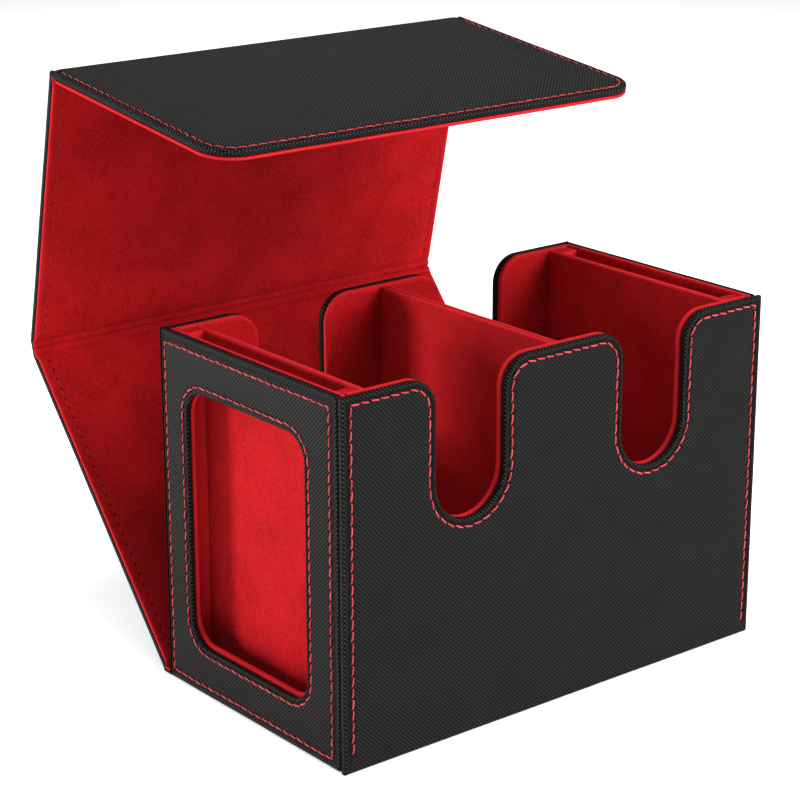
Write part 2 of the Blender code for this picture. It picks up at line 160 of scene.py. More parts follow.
class Graph:
    """The nodes of one material."""

    def __init__(self, name: str) -> None:
        """Starts an empty material.

        Args:
            name: the material's name.
        """
        self.material = bpy.data.materials.new(name)
        self.material.use_nodes = True
        self.tree = self.material.node_tree
        self.tree.nodes.clear()

    def node(
        self,
        kind: str,
        settings: Mapping[str, object] | None = None,
        inputs: Mapping[str | int, object] | None = None,
    ) -> bpy.types.Node:
        """Adds a node, sets it up, then fills its sockets.

        Args:
            kind: the node's type.
            settings: the node's own settings.
            inputs: what goes into each socket: a number, a colour, a vector, a socket or a Value.

        Returns:
            The node.
        """
        made = self.tree.nodes.new(kind)
        for key, setting in (settings or {}).items():
            setattr(made, key, setting)
        for key, given in (inputs or {}).items():
            target = made.inputs[key]
            source = given.socket if isinstance(given, Value) else given
            if isinstance(source, bpy.types.NodeSocket):
                self.tree.links.new(source, target)
            elif target.type == "RGBA" and len(source) == 3:
                target.default_value = (*source, 1.0)
            else:
                target.default_value = source
        return made

    def math(self, operation: str, *terms: Value | float) -> Value:
        """A Math node on values.

        Args:
            operation: the Math node's operation.
            terms: its operands.

        Returns:
            The result.
        """
        made = self.node("ShaderNodeMath", {"operation": operation}, dict(enumerate(terms)))
        return Value(self, made.outputs[0])

    def attribute(self, name: str) -> bpy.types.NodeSocket:
        """A vector that the mesh carries."""
        return self.node("ShaderNodeAttribute", {"attribute_name": name}).outputs["Vector"]

    def parts(self, vector: bpy.types.NodeSocket) -> tuple[Value, Value, Value]:
        """The three numbers of a vector."""
        made = self.node("ShaderNodeSeparateXYZ", None, {0: vector})
        return Value(self, made.outputs[0]), Value(self, made.outputs[1]), Value(self, made.outputs[2])

    def object_place(self) -> bpy.types.NodeSocket:
        """Where a point lies in its object."""
        return self.node("ShaderNodeTexCoord").outputs["Object"]

    def noise(self, place: bpy.types.NodeSocket, size: float, detail: float = 2.0, rough: float = 0.5) -> Value:
        """Cloudy noise around 0.5.

        Args:
            place: the point that the noise is read at.
            size: the size of its clouds, in metres.
            detail: how many finer layers it has.
            rough: how strong the finer layers are.

        Returns:
            The noise.
        """
        inputs = {"Vector": place, "Scale": 1.0 / size, "Detail": detail, "Roughness": rough}
        return Value(self, self.node("ShaderNodeTexNoise", None, inputs).outputs[0])

    def specks(self, place: bpy.types.NodeSocket, spacing: float, size: float, share: float) -> Value:
        """Sparse small specks.

        Args:
            place: the point that they are read at.
            spacing: the size of the cells that may hold a speck, in metres.
            size: a speck's radius, in metres.
            share: the share of the cells that hold one.

        Returns:
            1 inside a speck, 0 outside.
        """
        made = self.node("ShaderNodeTexVoronoi", None, {"Vector": place, "Scale": 1.0 / spacing, "Randomness": 1.0})
        near = Value(self, made.outputs["Distance"]).step(size / spacing, size / spacing * 0.4)
        chosen = self.parts(made.outputs["Color"])[0].step(1 - share, 1.001 - share)
        return near * chosen

    def mix(self, factor: Value | float, first: Colour, second: Colour, blend: str = "MIX") -> bpy.types.NodeSocket:
        """A mix of two colours.

        Args:
            factor: 0 for the first, 1 for the second.
            first: a colour.
            second: a colour.
            blend: the Mix node's blend type.

        Returns:
            The mixed colour.
        """
        settings = {"data_type": "RGBA", "blend_type": blend, "clamp_factor": True}
        return self.node("ShaderNodeMix", settings, {0: factor, 6: first, 7: second}).outputs[2]

    def surface(self, height: Value, relief: float, **inputs: object) -> bpy.types.Material:
        """Closes the graph with a Principled surface and its relief.

        Args:
            height: the relief, about 0 to 1.
            relief: how high 1 stands, in metres.
            inputs: the surface's sockets, with _ for a space.

        Returns:
            The material.
        """
        bump = self.node("ShaderNodeBump", None, {"Strength": 1.0, "Distance": relief, "Height": height})
        filled = {key.replace("_", " "): given for key, given in inputs.items()}
        shader = self.node("ShaderNodeBsdfPrincipled", None, filled | {"Normal": bump.outputs[0]})
        self.node("ShaderNodeOutputMaterial", None, {"Surface": shader.outputs[0]})
        return self.material


# ---------------------------------------------------------------- finishes


@dataclass(frozen=True)
class Finish(ABC):
    """A finish that pieces can be dressed in."""

    @property
    @abstractmethod
    def slot(self) -> Slot | None:
        """The record's slot that the finish belongs to."""

    @abstractmethod
    def material(self, name: str) -> bpy.types.Material:
        """The finish as a material.

        Args:
            name: the piece that it dresses.

        Returns:
            The material.
        """


@dataclass(frozen=True)
class Leatherette(Finish):
    """Black leatherette with fine diagonal ribs, pressed in along its seams; painted shade in its rib grooves and
    beside its seams, painted highlights on its rims.
    """

    rib_pitch: float = 0.943 * MM
    groove: Triple = (0.0050, 0.0050, 0.0050)
    crest: Triple = (0.038, 0.039, 0.037)
    shadow: Triple = (0.0030, 0.0030, 0.0030)
    glint: Triple = (0.150, 0.150, 0.145)
    relief: float = 0.062 * MM
    roughness: float = 0.46

    @property
    def slot(self) -> Slot:
        """The skins' slot."""
        return Slot.LEATHERETTE

    def material(self, name: str) -> bpy.types.Material:
        """Ribs along one diagonal, a fainter set across them, needle holes and worn rims, with painted shade in the
        rib grooves and beside the seams and painted highlights on the rims.

        Args:
            name: the piece that it dresses.

        Returns:
            The material.
        """
        graph = Graph(name + "_leatherette")
        place = graph.attribute("rest")
        along, up, wear = graph.parts(graph.attribute("weave"))
        drift = (graph.noise(place, 7 * MM) - 0.5) * 0.22
        turns = 1 / (math.sqrt(2) * self.rib_pitch)
        rib = 0.5 + 0.5 * ((along + up) * turns + drift).cosine()
        strand = 0.5 + 0.5 * ((up - along) * turns + drift).cosine()
        grain = graph.noise(place, 0.23 * MM)
        cloud = graph.noise(place, 14 * MM, 3.0)
        crossed = 0.16 + wear * 0.55
        weave = rib * (1.0 - crossed + crossed * strand)
        seam, across, sewn = graph.parts(graph.attribute("sewn"))
        # Dark band beside each seam, where the leatherette is pressed in: painted shade.
        seam_valley_shade = graph.math("ABSOLUTE", across + 0.75 * MM).step(0.62 * MM, 0.12 * MM) * sewn
        step = ((seam + 0.5).fraction() - 0.5) * 3.4
        away = (step * step + across * across * 1e6).root()
        hole = away.step(0.52, 0.12) * sewn
        # The rim term lightens the rims: painted highlight. Grain and cloud are random tone.
        shade = weave * (0.86 + wear * 0.25) + (grain - 0.5) * 0.5 + (cloud - 0.5) * 0.35
        # Groove to crest colour along the ribs: painted shade in the rib grooves.
        colour = graph.mix(shade, self.groove, self.crest)
        # Pale dots on the rib tops along the rims: painted highlight.
        colour = graph.mix((weave * weave * wear).step(0.25, 0.85) * 0.75, colour, self.glint)
        colour = graph.mix(seam_valley_shade * 0.8, colour, self.shadow)
        colour = graph.mix(graph.specks(place, 9 * MM, 0.10 * MM, 0.16) * 0.6, colour, (0.25, 0.26, 0.26))
        colour = graph.mix(hole, colour, (0.0015, 0.0012, 0.0012))
        height = weave * (1.0 + wear * 2.6) + (grain - 0.5) * 0.30 - hole * 2.2
        rough = self.roughness + (grain - 0.5) * 0.25 + (1.0 - rib) * 0.12 - wear * 0.05
        return graph.surface(height, self.relief, Base_Color=colour, Roughness=rough, Specular_IOR_Level=0.20)


@dataclass(frozen=True)
class Microfibre(Finish):
    """Red napped lining."""

    deep: Triple = (0.36, 0.0105, 0.0150)
    bright: Triple = (0.64, 0.0280, 0.0370)
    brushed: Triple = (0.80, 0.0660, 0.0820)
    nap: float = 0.10 * MM

    @property
    def slot(self) -> Slot:
        """The linings' slot."""
        return Slot.MICROFIBRE

    def material(self, name: str) -> bpy.types.Material:
        """Brushed nap with clouds, a faint diagonal hatch, lint, needle holes and painted highlights along the edges.

        Args:
            name: the piece that it dresses.

        Returns:
            The material.
        """
        graph = Graph(name + "_microfibre")
        place = graph.attribute("rest")
        along, up, wear = graph.parts(graph.attribute("weave"))
        fine = graph.noise(place, 0.55 * MM, 3.0, 0.7)
        nap = graph.noise(place, 1.3 * MM, 3.0, 0.6)
        cloud = graph.noise(place, 13 * MM, 2.0)
        hatch = ((along + up) * (1 / (math.sqrt(2) * 0.943 * MM))).cosine()
        # The last term lightens the edges: painted highlight. The noises are random tone.
        shade = 0.5 + (fine - 0.5) * 2.0 + (nap - 0.5) * 0.9 + (cloud - 0.5) * 0.9 + hatch * 0.08 + wear * 0.25
        colour = graph.mix(shade, self.deep, self.bright)
        lint = graph.specks(place, 8 * MM, 0.16 * MM, 0.22)
        # Edges shift toward a paler red: painted highlight.
        colour = graph.mix(wear * 0.55, colour, self.brushed)
        colour = graph.mix(lint * 0.5, colour, (0.80, 0.16, 0.16))
        seam, across, sewn = graph.parts(graph.attribute("sewn"))
        step = ((seam + 0.5).fraction() - 0.5) * 3.4
        away = (step * step + across * across * 1e6).root()
        hole = away.step(0.50, 0.15) * sewn
        colour = graph.mix(hole * 0.8, colour, (0.05, 0.0004, 0.0008))
        height = fine * 0.8 + nap * 1.0 - hole * 3.0
        return graph.surface(
            height,
            self.nap,
            Base_Color=colour,
            Roughness=0.86 + (nap - 0.5) * 0.2,
            Specular_IOR_Level=0.12,
            Sheen_Weight=0.12,
            Sheen_Roughness=0.45,
            Sheen_Tint=(1.0, 0.20, 0.22),
        )


@dataclass(frozen=True)
class Thread(Finish):
    """Red sewing thread, twisted from plies."""

    dark: Triple = (0.46, 0.014, 0.022)
    lit: Triple = (0.88, 0.140, 0.165)
    ply: float = 0.9 * MM
    belongs: Slot = Slot.MICROFIBRE

    @property
    def slot(self) -> Slot:
        """The slot that the thread follows."""
        return self.belongs

    def material(self, name: str) -> bpy.types.Material:
        """Twisted plies with painted shade between them and painted highlights on them, each stitch a little
        different.

        Args:
            name: the piece that it dresses.

        Returns:
            The material.
        """
        graph = Graph(name + "_thread")
        along, around, chance = graph.parts(graph.attribute("weave"))
        ply = 0.5 + 0.5 * (along * (1 / self.ply) + around * 2.0).cosine()
        fuzz = graph.noise(graph.attribute("rest"), 0.2 * MM)
        shade = 0.25 + ply * 0.5 + (fuzz - 0.5) * 0.4 + (chance - 0.5) * 0.5
        # From dark to lit across the plies: painted shade and painted highlight.
        colour = graph.mix(shade, self.dark, self.lit)
        return graph.surface(
            ply + fuzz * 0.4,
            0.05 * MM,
            Base_Color=colour,
            Roughness=0.45 + (fuzz - 0.5) * 0.2,
            Specular_IOR_Level=0.5,
            Sheen_Weight=0.15,
            Sheen_Tint=(1.0, 0.55, 0.58),
        )


@dataclass(frozen=True)
class Greyboard(Finish):
    """Pressed pulp board with flecks."""

    dark: Triple = (0.27, 0.23, 0.18)
    pale: Triple = (0.47, 0.42, 0.34)

    @property
    def slot(self) -> Slot:
        """The boards' slot."""
        return Slot.GREYBOARD

    def material(self, name: str) -> bpy.types.Material:
        """Mottled pulp.

        Args:
            name: the piece that it dresses.

        Returns:
            The material.
        """
        graph = Graph(name + "_greyboard")
        place = graph.object_place()
        pulp = graph.noise(place, 0.9 * MM, 4.0, 0.6)
        fibre = graph.noise(place, 5 * MM, 3.0)
        flecks = graph.specks(place, 2.4 * MM, 0.3 * MM, 0.3)
        colour = graph.mix(0.5 + (pulp - 0.5) * 1.1 + (fibre - 0.5) * 0.5, self.dark, self.pale)
        colour = graph.mix(flecks * 0.7, colour, (0.12, 0.10, 0.08))
        rough = 0.88 + (pulp - 0.5) * 0.2
        return graph.surface(pulp, 0.04 * MM, Base_Color=colour, Roughness=rough, Specular_IOR_Level=0.2)


@dataclass(frozen=True)
class Plating(Finish):
    """Nickel plating of the magnets."""

    metal: Triple = (0.60, 0.60, 0.61)
    dull: Triple = (0.42, 0.42, 0.43)

    @property
    def slot(self) -> Slot:
        """The magnets' slot."""
        return Slot.PLATING

    def material(self, name: str) -> bpy.types.Material:
        """Bright metal with handling marks.

        Args:
            name: the piece that it dresses.

        Returns:
            The material.
        """
        graph = Graph(name + "_plating")
        place = graph.object_place()
        marks = graph.noise(place, 1.5 * MM, 4.0, 0.65)
        colour = graph.mix(marks.step(0.35, 0.7), self.metal, self.dull)
        return graph.surface(marks, 0.006 * MM, Base_Color=colour, Roughness=0.16 + marks * 0.28, Metallic=1.0)


@dataclass(frozen=True)
class FloorPaper(Finish):
    """Pale paper that the box stands on."""

    low: Triple = (0.90, 0.90, 0.90)
    high: Triple = (0.94, 0.94, 0.94)
    glow: float = 0.54

    @property
    def slot(self) -> None:
        """The floor takes no slot of the record."""
        return None

    def material(self, name: str) -> bpy.types.Material:
        """Nearly white paper, lit from below.

        Args:
            name: the piece that it dresses.

        Returns:
            The material.
        """
        graph = Graph(name + "_paper")
        place = graph.object_place()
        tooth = graph.noise(place, 2 * MM, 2.0)
        colour = graph.mix(tooth, self.low, self.high)
        return graph.surface(
            tooth,
            0.01 * MM,
            Base_Color=colour,
            Roughness=0.9,
            Specular_IOR_Level=0.0,
            Emission_Color=(1.0, 1.0, 1.0),
            Emission_Strength=self.glow,
        )


# ---------------------------------------------------------------- outlines


def arc(centre: Pair, radius: float, start: float, end: float, step: float = 7.5) -> list[Pair]:
    """Points along an arc.

    Args:
        centre: its centre.
        radius: its radius.
        start: the angle that it starts at, in degrees.
        end: the angle that it ends at.
        step: about how far apart the points are, in degrees.

    Returns:
        The points, both ends included.
    """
    count = max(2, round(abs(end - start) / step))
    angles = [math.radians(start + (end - start) * index / count) for index in range(count + 1)]
    return [(centre[0] + radius * math.cos(a), centre[1] + radius * math.sin(a)) for a in angles]


def rectangle(left: float, right: float, low: float, high: float, radii: Sequence[float] = (0, 0, 0, 0)) -> list[Pair]:
    """A rectangle, anticlockwise from its lower left corner.

    Args:
        left: its left side.
        right: its right side.
        low: its lower side.
        high: its upper side.
        radii: each corner's radius.

    Returns:
        Its points.
    """
    corners = ((left, low, 1, 1), (right, low, -1, 1), (right, high, -1, -1), (left, high, 1, -1))
    points: list[Pair] = []
    for index, ((x, y, inward_x, inward_y), radius) in enumerate(zip(corners, radii)):
        if radius > 0:
            start = 180 + 90 * index
            points += arc((x + inward_x * radius, y + inward_y * radius), radius, start, start + 90)
        else:
            points.append((x, y))
    return points


def stretched(inset: float, seam: float, nominal: float, rim: float) -> float:
    """Moves an inset beyond the rim so that the nominal seam lands where this side's seam is.

    Args:
        inset: the inset asked for.
        seam: how far in this side's seam is.
        nominal: how far in the nominal seam is.
        rim: the width that stays as it is.

    Returns:
        The inset on this side.
    """
    return inset if inset <= rim else rim + (inset - rim) * (seam - rim) / (nominal - rim)


@dataclass(frozen=True)
class Outline(ABC):
    """The closed outline of a layer, which can be drawn in by any inset with the same number of points."""

    seam: float = 2.2 * MM
    rim: float = 0.8 * MM
    spacing: float = 4.0 * MM

    @abstractmethod
    def draw(self, inset: float, base: float) -> list[list[Pair]]:
        """The outline and its openings.

        Args:
            inset: how far in it is drawn.
            base: how far in its lower side is drawn.

        Returns:
            A loop of points for the outline, and one for each opening.
        """

    def loops(self, inset: float, base: float) -> list[np.ndarray]:
        """The loops with their long sides split.

        Args:
            inset: how far in they are drawn.
            base: how far in the lower side is drawn.

        Returns:
            The loops' points.
        """
        made = []
        for plain, moved in zip(self.draw(0.0, 0.0), self.draw(inset, base)):
            start, shifted = np.array(plain), np.array(moved)
            points = []
            for index in range(len(start)):
                following = (index + 1) % len(start)
                count = max(1, round(float(np.linalg.norm(start[following] - start[index])) / self.spacing))
                shares = np.arange(count)[:, None] / count
                points.append(shifted[index] + (shifted[following] - shifted[index]) * shares)
            made.append(np.concatenate(points))
        return made

    def pressed(self, points: np.ndarray) -> np.ndarray:
        """How much of the seam's groove each point has, from 0 to 1.

        Args:
            points: points of the outline itself.

        Returns:
            Their shares.
        """
        return np.ones(len(points))

    def held(self, points: np.ndarray, depth: np.ndarray) -> np.ndarray:
        """How deep each point may really lie.

        Args:
            points: points of the outline itself.
            depth: how deep they are drawn.

        Returns:
            Their depths.
        """
        return depth


def smooth(values: np.ndarray, low: float, high: float) -> np.ndarray:
    """A smooth rise from 0 at low to 1 at high.

    Args:
        values: the numbers to map.
        low: where the rise starts.
        high: where it ends.

    Returns:
        The mapped numbers.
    """
    share = np.clip((values - low) / (high - low), 0, 1)
    return share * share * (3 - 2 * share)


@dataclass(frozen=True)
class NotchedOutline(Outline):
    """A long wall with two thumb notches."""

    bottom: float = 0.0
    top: float = 110 * MM
    half_width: float = 80.25 * MM
    notch_width: float = 25 * MM
    notch_depth: float = 44 * MM
    notch_centre: float = 35.2 * MM
    tab_radius: float = 9 * MM
    side_seam: float = 2.85 * MM
    edge_seam: float = 2.5 * MM
    side_depth: float = 1.0
    side_strip: float = 1.65 * MM

    def draw(self, inset: float, base: float) -> list[list[Pair]]:
        """The wall's outline.

        Args:
            inset: how far in it is drawn.
            base: how far in its lower side is drawn.

        Returns:
            One loop.
        """
        side = self.half_width - stretched(inset, self.side_seam, self.seam, self.rim)
        inset = stretched(inset, self.edge_seam, self.seam, self.rim)
        top = self.top - inset
        notch = self.notch_width / 2 + inset
        middle = self.top - self.notch_depth + self.notch_width / 2
        tab = self.tab_radius - inset
        low = self.bottom + base
        near, far = side - self.side_strip, side - self.side_strip - 0.25 * MM
        points: list[Pair] = [(-side, low), (-near, low), (-far, low), (far, low), (near, low), (side, low)]
        points += [(side, top), (near, top), (far, top)]
        for centre in (self.notch_centre, -self.notch_centre):
            reach = notch + tab
            points += arc((centre + reach, top - tab), tab, 90, 180)
            points += arc((centre, middle), notch, 0, -180)
            points += arc((centre - reach, top - tab), tab, 0, 90)
        return [points + [(-far, top), (-near, top), (-side, top)]]

    def pressed(self, points: np.ndarray) -> np.ndarray:
        """The seam fades out at the wall's lower edge.

        Args:
            points: points of the outline itself.

        Returns:
            Their shares.
        """
        return smooth(points[:, 1], self.bottom, self.bottom + 2 * MM)

    def held(self, points: np.ndarray, depth: np.ndarray) -> np.ndarray:
        """The turned edge is shallower along the wall's sides, where it lies over an end wall.

        Args:
            points: points of the outline itself.
            depth: how deep they are drawn.

        Returns:
            Their depths.
        """
        at_side = np.abs(points[:, 0]) > self.half_width - self.side_strip - 0.05 * MM
        limit = np.where(at_side, self.side_depth, 1.0)
        return np.where(depth > limit, limit + (depth - limit) * 0.02, depth)


@dataclass(frozen=True)
class WindowOutline(Outline):
    """An end wall with its window. It runs from the front edge to the back edge of one side."""

    front: float = -40.95 * MM
    back: float = 42.85 * MM
    sign: int = 1
    bottom: float = 0.0
    top: float = 110 * MM
    window_width: float = 56.5 * MM
    window_sill: float = 15.0 * MM
    window_height: float = 79.3 * MM
    window_shift: float = 2.4 * MM
    window_radius: float = 7.8 * MM
    sill_lip: float = 0.0
    front_seam: float = 3.45 * MM
    back_seam: float = 1.95 * MM
    top_seam: float = 3.75 * MM
    bottom_seam: float = 2.8 * MM
    corner: float = 0.8 * MM

    def draw(self, inset: float, base: float) -> list[list[Pair]]:
        """The wall's outline and its window.

        Args:
            inset: how far in it is drawn.
            base: unused, because the seam runs along all four sides.

        Returns:
            Two loops.
        """
        front = self.front + stretched(inset, self.front_seam, self.seam, self.rim)
        back = self.back - stretched(inset, self.back_seam, self.seam, self.rim)
        low = self.bottom + stretched(inset, self.bottom_seam, self.seam, self.rim)
        high = self.top - stretched(inset, self.top_seam, self.seam, self.rim)
        left, right = sorted((self.sign * front, self.sign * back))
        centre = self.sign * self.window_shift
        window = rectangle(
            centre - self.window_width / 2 - inset,
            centre + self.window_width / 2 + inset,
            self.window_sill + self.sill_lip - inset,
            self.window_sill + self.window_height + inset,
            (self.window_radius + inset,) * 4,
        )
        corner = max(self.corner - inset, 0.001 * MM)
        return [rectangle(left, right, low, high, (corner,) * 4), window[::-1]]


@dataclass(frozen=True)
class PanelOutline(Outline):
    """A panel or pad between four sides, its two upper corners rounded."""

    left: float = -80.25 * MM
    right: float = 80.25 * MM
    low: float = 0.0
    high: float = 10 * MM
    corner: float = 0.0
    open_top: bool = False

    def draw(self, inset: float, base: float) -> list[list[Pair]]:
        """The panel's outline.

        Args:
            inset: how far in it is drawn.
            base: how far in its lower side is drawn, and its upper side where that is open too.

        Returns:
            One loop.
        """
        corner = max(self.corner - inset, 0.0)
        top = self.high - (base if self.open_top else inset)
        return [rectangle(self.left + inset, self.right - inset, self.low + base, top, (0, 0, corner, corner))]


# ---------------------------------------------------------------- meshes


def wavered(points: np.ndarray) -> np.ndarray:
    """Moves points a little, smoothly over space, as hand-laid material does.

    Args:
        points: points at rest, in metres.

    Returns:
        The moved points.
    """
    flat = points.reshape(-1, 3)
    moved = [noise.noise_vector(Vector(point) / (17 * MM)) for point in flat]
    return (flat + np.array(moved) * 0.05 * MM).reshape(points.shape)


class Surface:
    """A closed mesh under construction, which knows its weave and its seams on every face corner."""

    def __init__(self) -> None:
        """Starts an empty surface."""
        self._points: list[np.ndarray] = []
        self._faces: list[tuple[int, ...]] = []
        self._weave: list[np.ndarray] = []
        self._sewn: list[np.ndarray] = []
        self._count = 0

    def add_grid(self, points: np.ndarray, weave: np.ndarray, sewn: np.ndarray) -> int:
        """Adds rows of points, each row a closed loop.

        Args:
            points: rows by columns by 3.
            weave: weave place, and how worn each point is with its painted rim highlight, with one more column than
                the points.
            sewn: stitch count, distance across the seam and its presence, shaped as the weave.

        Returns:
            The index of the first point.
        """
        rows, columns = points.shape[:2]
        first = self._count
        self._points.append(points.reshape(-1, 3))
        self._count += rows * columns
        row, column = np.meshgrid(np.arange(rows - 1), np.arange(columns), indexing="ij")
        row, column = row.ravel(), column.ravel()
        following = (column + 1) % columns
        lower, upper = first + row * columns, first + (row + 1) * columns
        quads = np.stack([lower + column, lower + following, upper + following, upper + column], 1)
        self._faces += [tuple(quad) for quad in quads.tolist()]
        corners = ((row, column), (row, column + 1), (row + 1, column + 1), (row + 1, column))
        self._weave.append(np.stack([weave[r, c] for r, c in corners], 1).reshape(-1, 3))
        self._sewn.append(np.stack([sewn[r, c] for r, c in corners], 1).reshape(-1, 3))
        return first

    def add_cap(self, loops: Sequence[tuple[int, np.ndarray]], weave: Sequence[np.ndarray], seam: Triple) -> None:
        """Closes one or more loops of points with flat faces.

        Args:
            loops: each loop's first point and its flat shape.
            weave: the weave at each loop's points.
            seam: what the cap knows about seams.
        """
        flat = [[Vector((float(x), float(y), 0.0)) for x, y in shape] for _, shape in loops]
        numbers = [first + index for first, shape in loops for index in range(len(shape))]
        values = np.concatenate([weave[index][: len(shape)] for index, (_, shape) in enumerate(loops)])
        for triangle in tessellate_polygon(flat):
            self._faces.append(tuple(numbers[index] for index in triangle))
            self._weave.append(values[list(triangle)])
            self._sewn.append(np.array([seam] * 3))

    def build(self, name: str, sharp: float = 50.0) -> bpy.types.Object:
        """Turns the surface into an object.

        Args:
            name: the piece's name.
            sharp: the angle from which an edge is sharp, in degrees.

        Returns:
            The object.
        """
        points = np.concatenate(self._points)
        mesh = bpy.data.meshes.new(name)
        mesh.from_pydata(points.tolist(), [], self._faces)
        for label, values in (("weave", self._weave), ("sewn", self._sewn)):
            attribute = mesh.attributes.new(label, "FLOAT_VECTOR", "CORNER")
            attribute.data.foreach_set("vector", np.concatenate(values).astype(np.float32).ravel())
        rest = mesh.attributes.new("rest", "FLOAT_VECTOR", "POINT")
        rest.data.foreach_set("vector", points.astype(np.float32).ravel())
        shape = bmesh.new()
        shape.from_mesh(mesh)
        bmesh.ops.recalc_face_normals(shape, faces=shape.faces)
        shape.to_mesh(mesh)
        shape.free()
        mesh.shade_smooth()
        mesh.set_sharp_from_angle(angle=math.radians(sharp))
        made = bpy.data.objects.new(name, mesh)
        bpy.context.scene.collection.objects.link(made)
        return made


def dress(made: bpy.types.Object, finish: Finish, body: Body | None, *stands_for: str) -> bpy.types.Object:
    """Gives a piece its finish, its body and the nodes that it stands for.

    Args:
        made: the piece.
        finish: its finish.
        body: the body that it rides on, or None for a piece that spans a fold and stays unattached.
        stands_for: the frame's nodes that it replaces.

    Returns:
        The piece.
    """
    made.data.materials.clear()
    made.data.materials.append(finish.material(made.name))
    if finish.slot is not None:
        finish.slot.value
    if body is not None:
        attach(made, body.value)
    if stands_for:
        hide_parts(*stands_for)
    log.info("%s: %d faces, on %s", made.name, len(made.data.polygons), body.value if body else "two bodies")
    return made


@dataclass(frozen=True)
class Ring:
    """One step round the edge of a layer, in millimetres. Depth counts down from its visible face."""

    inset: float
    base: float
    depth: float
    weave: float
    press: float = 0.0
    wear: float = 0.0


def face_rings(first_base: float, base_step: float) -> list[Ring]:
    """The steps from the rolled rim across the seam to the flat face.

    Args:
        first_base: how far in the lower side is at the first step.
        base_step: how much further in it is at each next one.

    Returns:
        The steps.
    """
    shape = (
        (1.10, 0.14),
        (1.45, 0.26),
        (1.80, 0.24),
        (2.20, 0.20),
        (2.50, 0.16),
        (2.85, 0.08),
        (3.30, 0.03),
        (3.90, 0.00),
        (4.40, 0.00),
    )
    return [
        Ring(inset, first_base + base_step * index, 0.0, inset, press)
        for index, (inset, press) in enumerate(shape, start=1)
    ]


def skin_rings(total: float, floor: float, open_base: bool = False, roll: float = 0.3) -> list[Ring]:
    """A tray of leatherette with turned edges, from its floor round the rim to its face.

    Args:
        total: how deep the turned edges reach, in millimetres.
        floor: how thick the face is.
        open_base: whether the leatherette runs on past the lower side, into a fold.
        roll: the rounding of the turned edge's hidden side.

    Returns:
        The steps.
    """
    turned = [Ring(1.00, 1.00, floor, 3.4), Ring(1.00, 1.00, total - 0.12, 2.6)]
    for angle in (90, 60, 30, 0):
        share = math.radians(angle)
        inset = roll * (1 - math.cos(share))
        wear = 0.7 if angle < 45 else 0.2
        turned.append(Ring(inset, inset, total - roll * (1 - math.sin(share)), 1.3 + roll * share, 0.0, wear))
    rolled = (
        Ring(0.00, 0.00, 0.95, 0.15, 0.0, 0.8),
        Ring(0.05, 0.05, 0.58, -0.22, 0.0, 1.0),
        Ring(0.20, 0.20, 0.26, 0.13, 0.0, 1.0),
        Ring(0.45, 0.45, 0.07, 0.44, 0.0, 0.9),
        Ring(0.80, 0.80, 0.00, 0.80, 0.0, 0.4),
    )
    if not open_base:
        return [*turned, *rolled, *face_rings(0.80, 0.03)]
    flush = [
        Ring(ring.inset, 0.012 * index, ring.depth, ring.weave, 0.0, ring.wear) for index, ring in enumerate(rolled)
    ]
    return [*turned, *flush, *face_rings(0.06, 0.012)]


def lining_rings(thickness: float, open_base: bool = False, seam: bool = False) -> list[Ring]:
    """A lining with a soft rolled edge, from its glued side round to its face.

    Args:
        thickness: its thickness, in millimetres.
        open_base: whether it runs on past its lower side, into a fold.
        seam: whether a seam runs along it.

    Returns:
        The steps.
    """
    roll = min(0.75, thickness * 0.55)
    rolled = [
        Ring(1.20, 1.20, thickness, 1.2),
        Ring(0.40, 0.40, thickness, 0.6, 0.0, 0.2),
        Ring(0.12, 0.12, thickness - 0.14, 0.3, 0.0, 0.5),
        Ring(0.00, 0.00, thickness * 0.62, 0.1, 0.0, 0.9),
    ]
    for step in range(5):
        angle = math.radians(90 * step / 4)
        inset, depth = roll * (1 - math.cos(angle)), roll * (1 - math.sin(angle))
        rolled.append(Ring(inset, inset, depth, inset, 0.0, 1.0 - 0.2 * step))
    face = [Ring(1.5, 1.0, 0.0, 1.5), Ring(2.1, 1.03, 0.0, 2.1)]
    if seam:
        face += [
            Ring(inset, 1.06, 0.0, inset, press)
            for inset, press in ((2.6, 0.03), (2.95, 0.11), (3.2, 0.14), (3.45, 0.11), (3.9, 0.03), (5.0, 0.0))
        ]
    rings = [*rolled, *face]
    if open_base:
        rings = [
            Ring(r.inset, 0.012 * max(0, index - 3), r.depth, r.weave, r.press, r.wear)
            for index, r in enumerate(rings)
        ]
    return rings


@dataclass(frozen=True)
class Placement:
    """Where a flat layer stands: its frame, the height of its visible face there, and which way that looks."""

    frame: Matrix
    face: float
    inwards: int
    mirror: bool = False
    run: float = 0.0

    def point(self, flat: np.ndarray, depth: np.ndarray | float) -> np.ndarray:
        """Points of the layer in the row frame.

        Args:
            flat: points in the frame's plane.
            depth: how far each is below the visible face.

        Returns:
            The points, as hand-laid material has them.
        """
        height = self.face + self.inwards * (np.zeros(len(flat)) + depth)
        local = np.column_stack([flat, height, np.ones(len(flat))])
        return wavered((local @ np.array(self.frame).T)[:, :3])

    def weave(self, flat: np.ndarray, wear: float) -> np.ndarray:
        """The weave at points of the layer.

        Args:
            flat: points in the frame's plane, rims unrolled.
            wear: how worn they are; the same number sets the painted rim highlight.

        Returns:
            Place along, place up, and how worn they are with the painted rim highlight.
        """
        along = -flat[:, 0] if self.mirror else flat[:, 0]
        return np.column_stack([along, flat[:, 1] + self.run, np.full(len(flat), wear)])


@dataclass(frozen=True)
class Sewing:
    """A machine seam: its stitches' pitch, length, thickness and slant, in metres."""

    pitch: float = 3.4 * MM
    length: float = 3.3 * MM
    radius: float = 0.29 * MM
    lift: float = 0.14 * MM
    sink: float = 0.22 * MM
    slant: float = 0.21 * MM

    def count(self, length: float) -> int:
        """How many stitches a run of this length takes."""
        return max(1, round(length / self.pitch))


@dataclass(frozen=True)
class Run:
    """A run of stitches: its path, the way off the surface, and which stretches are sewn."""

    path: np.ndarray
    off: np.ndarray
    sewn: np.ndarray
    closed: bool = True


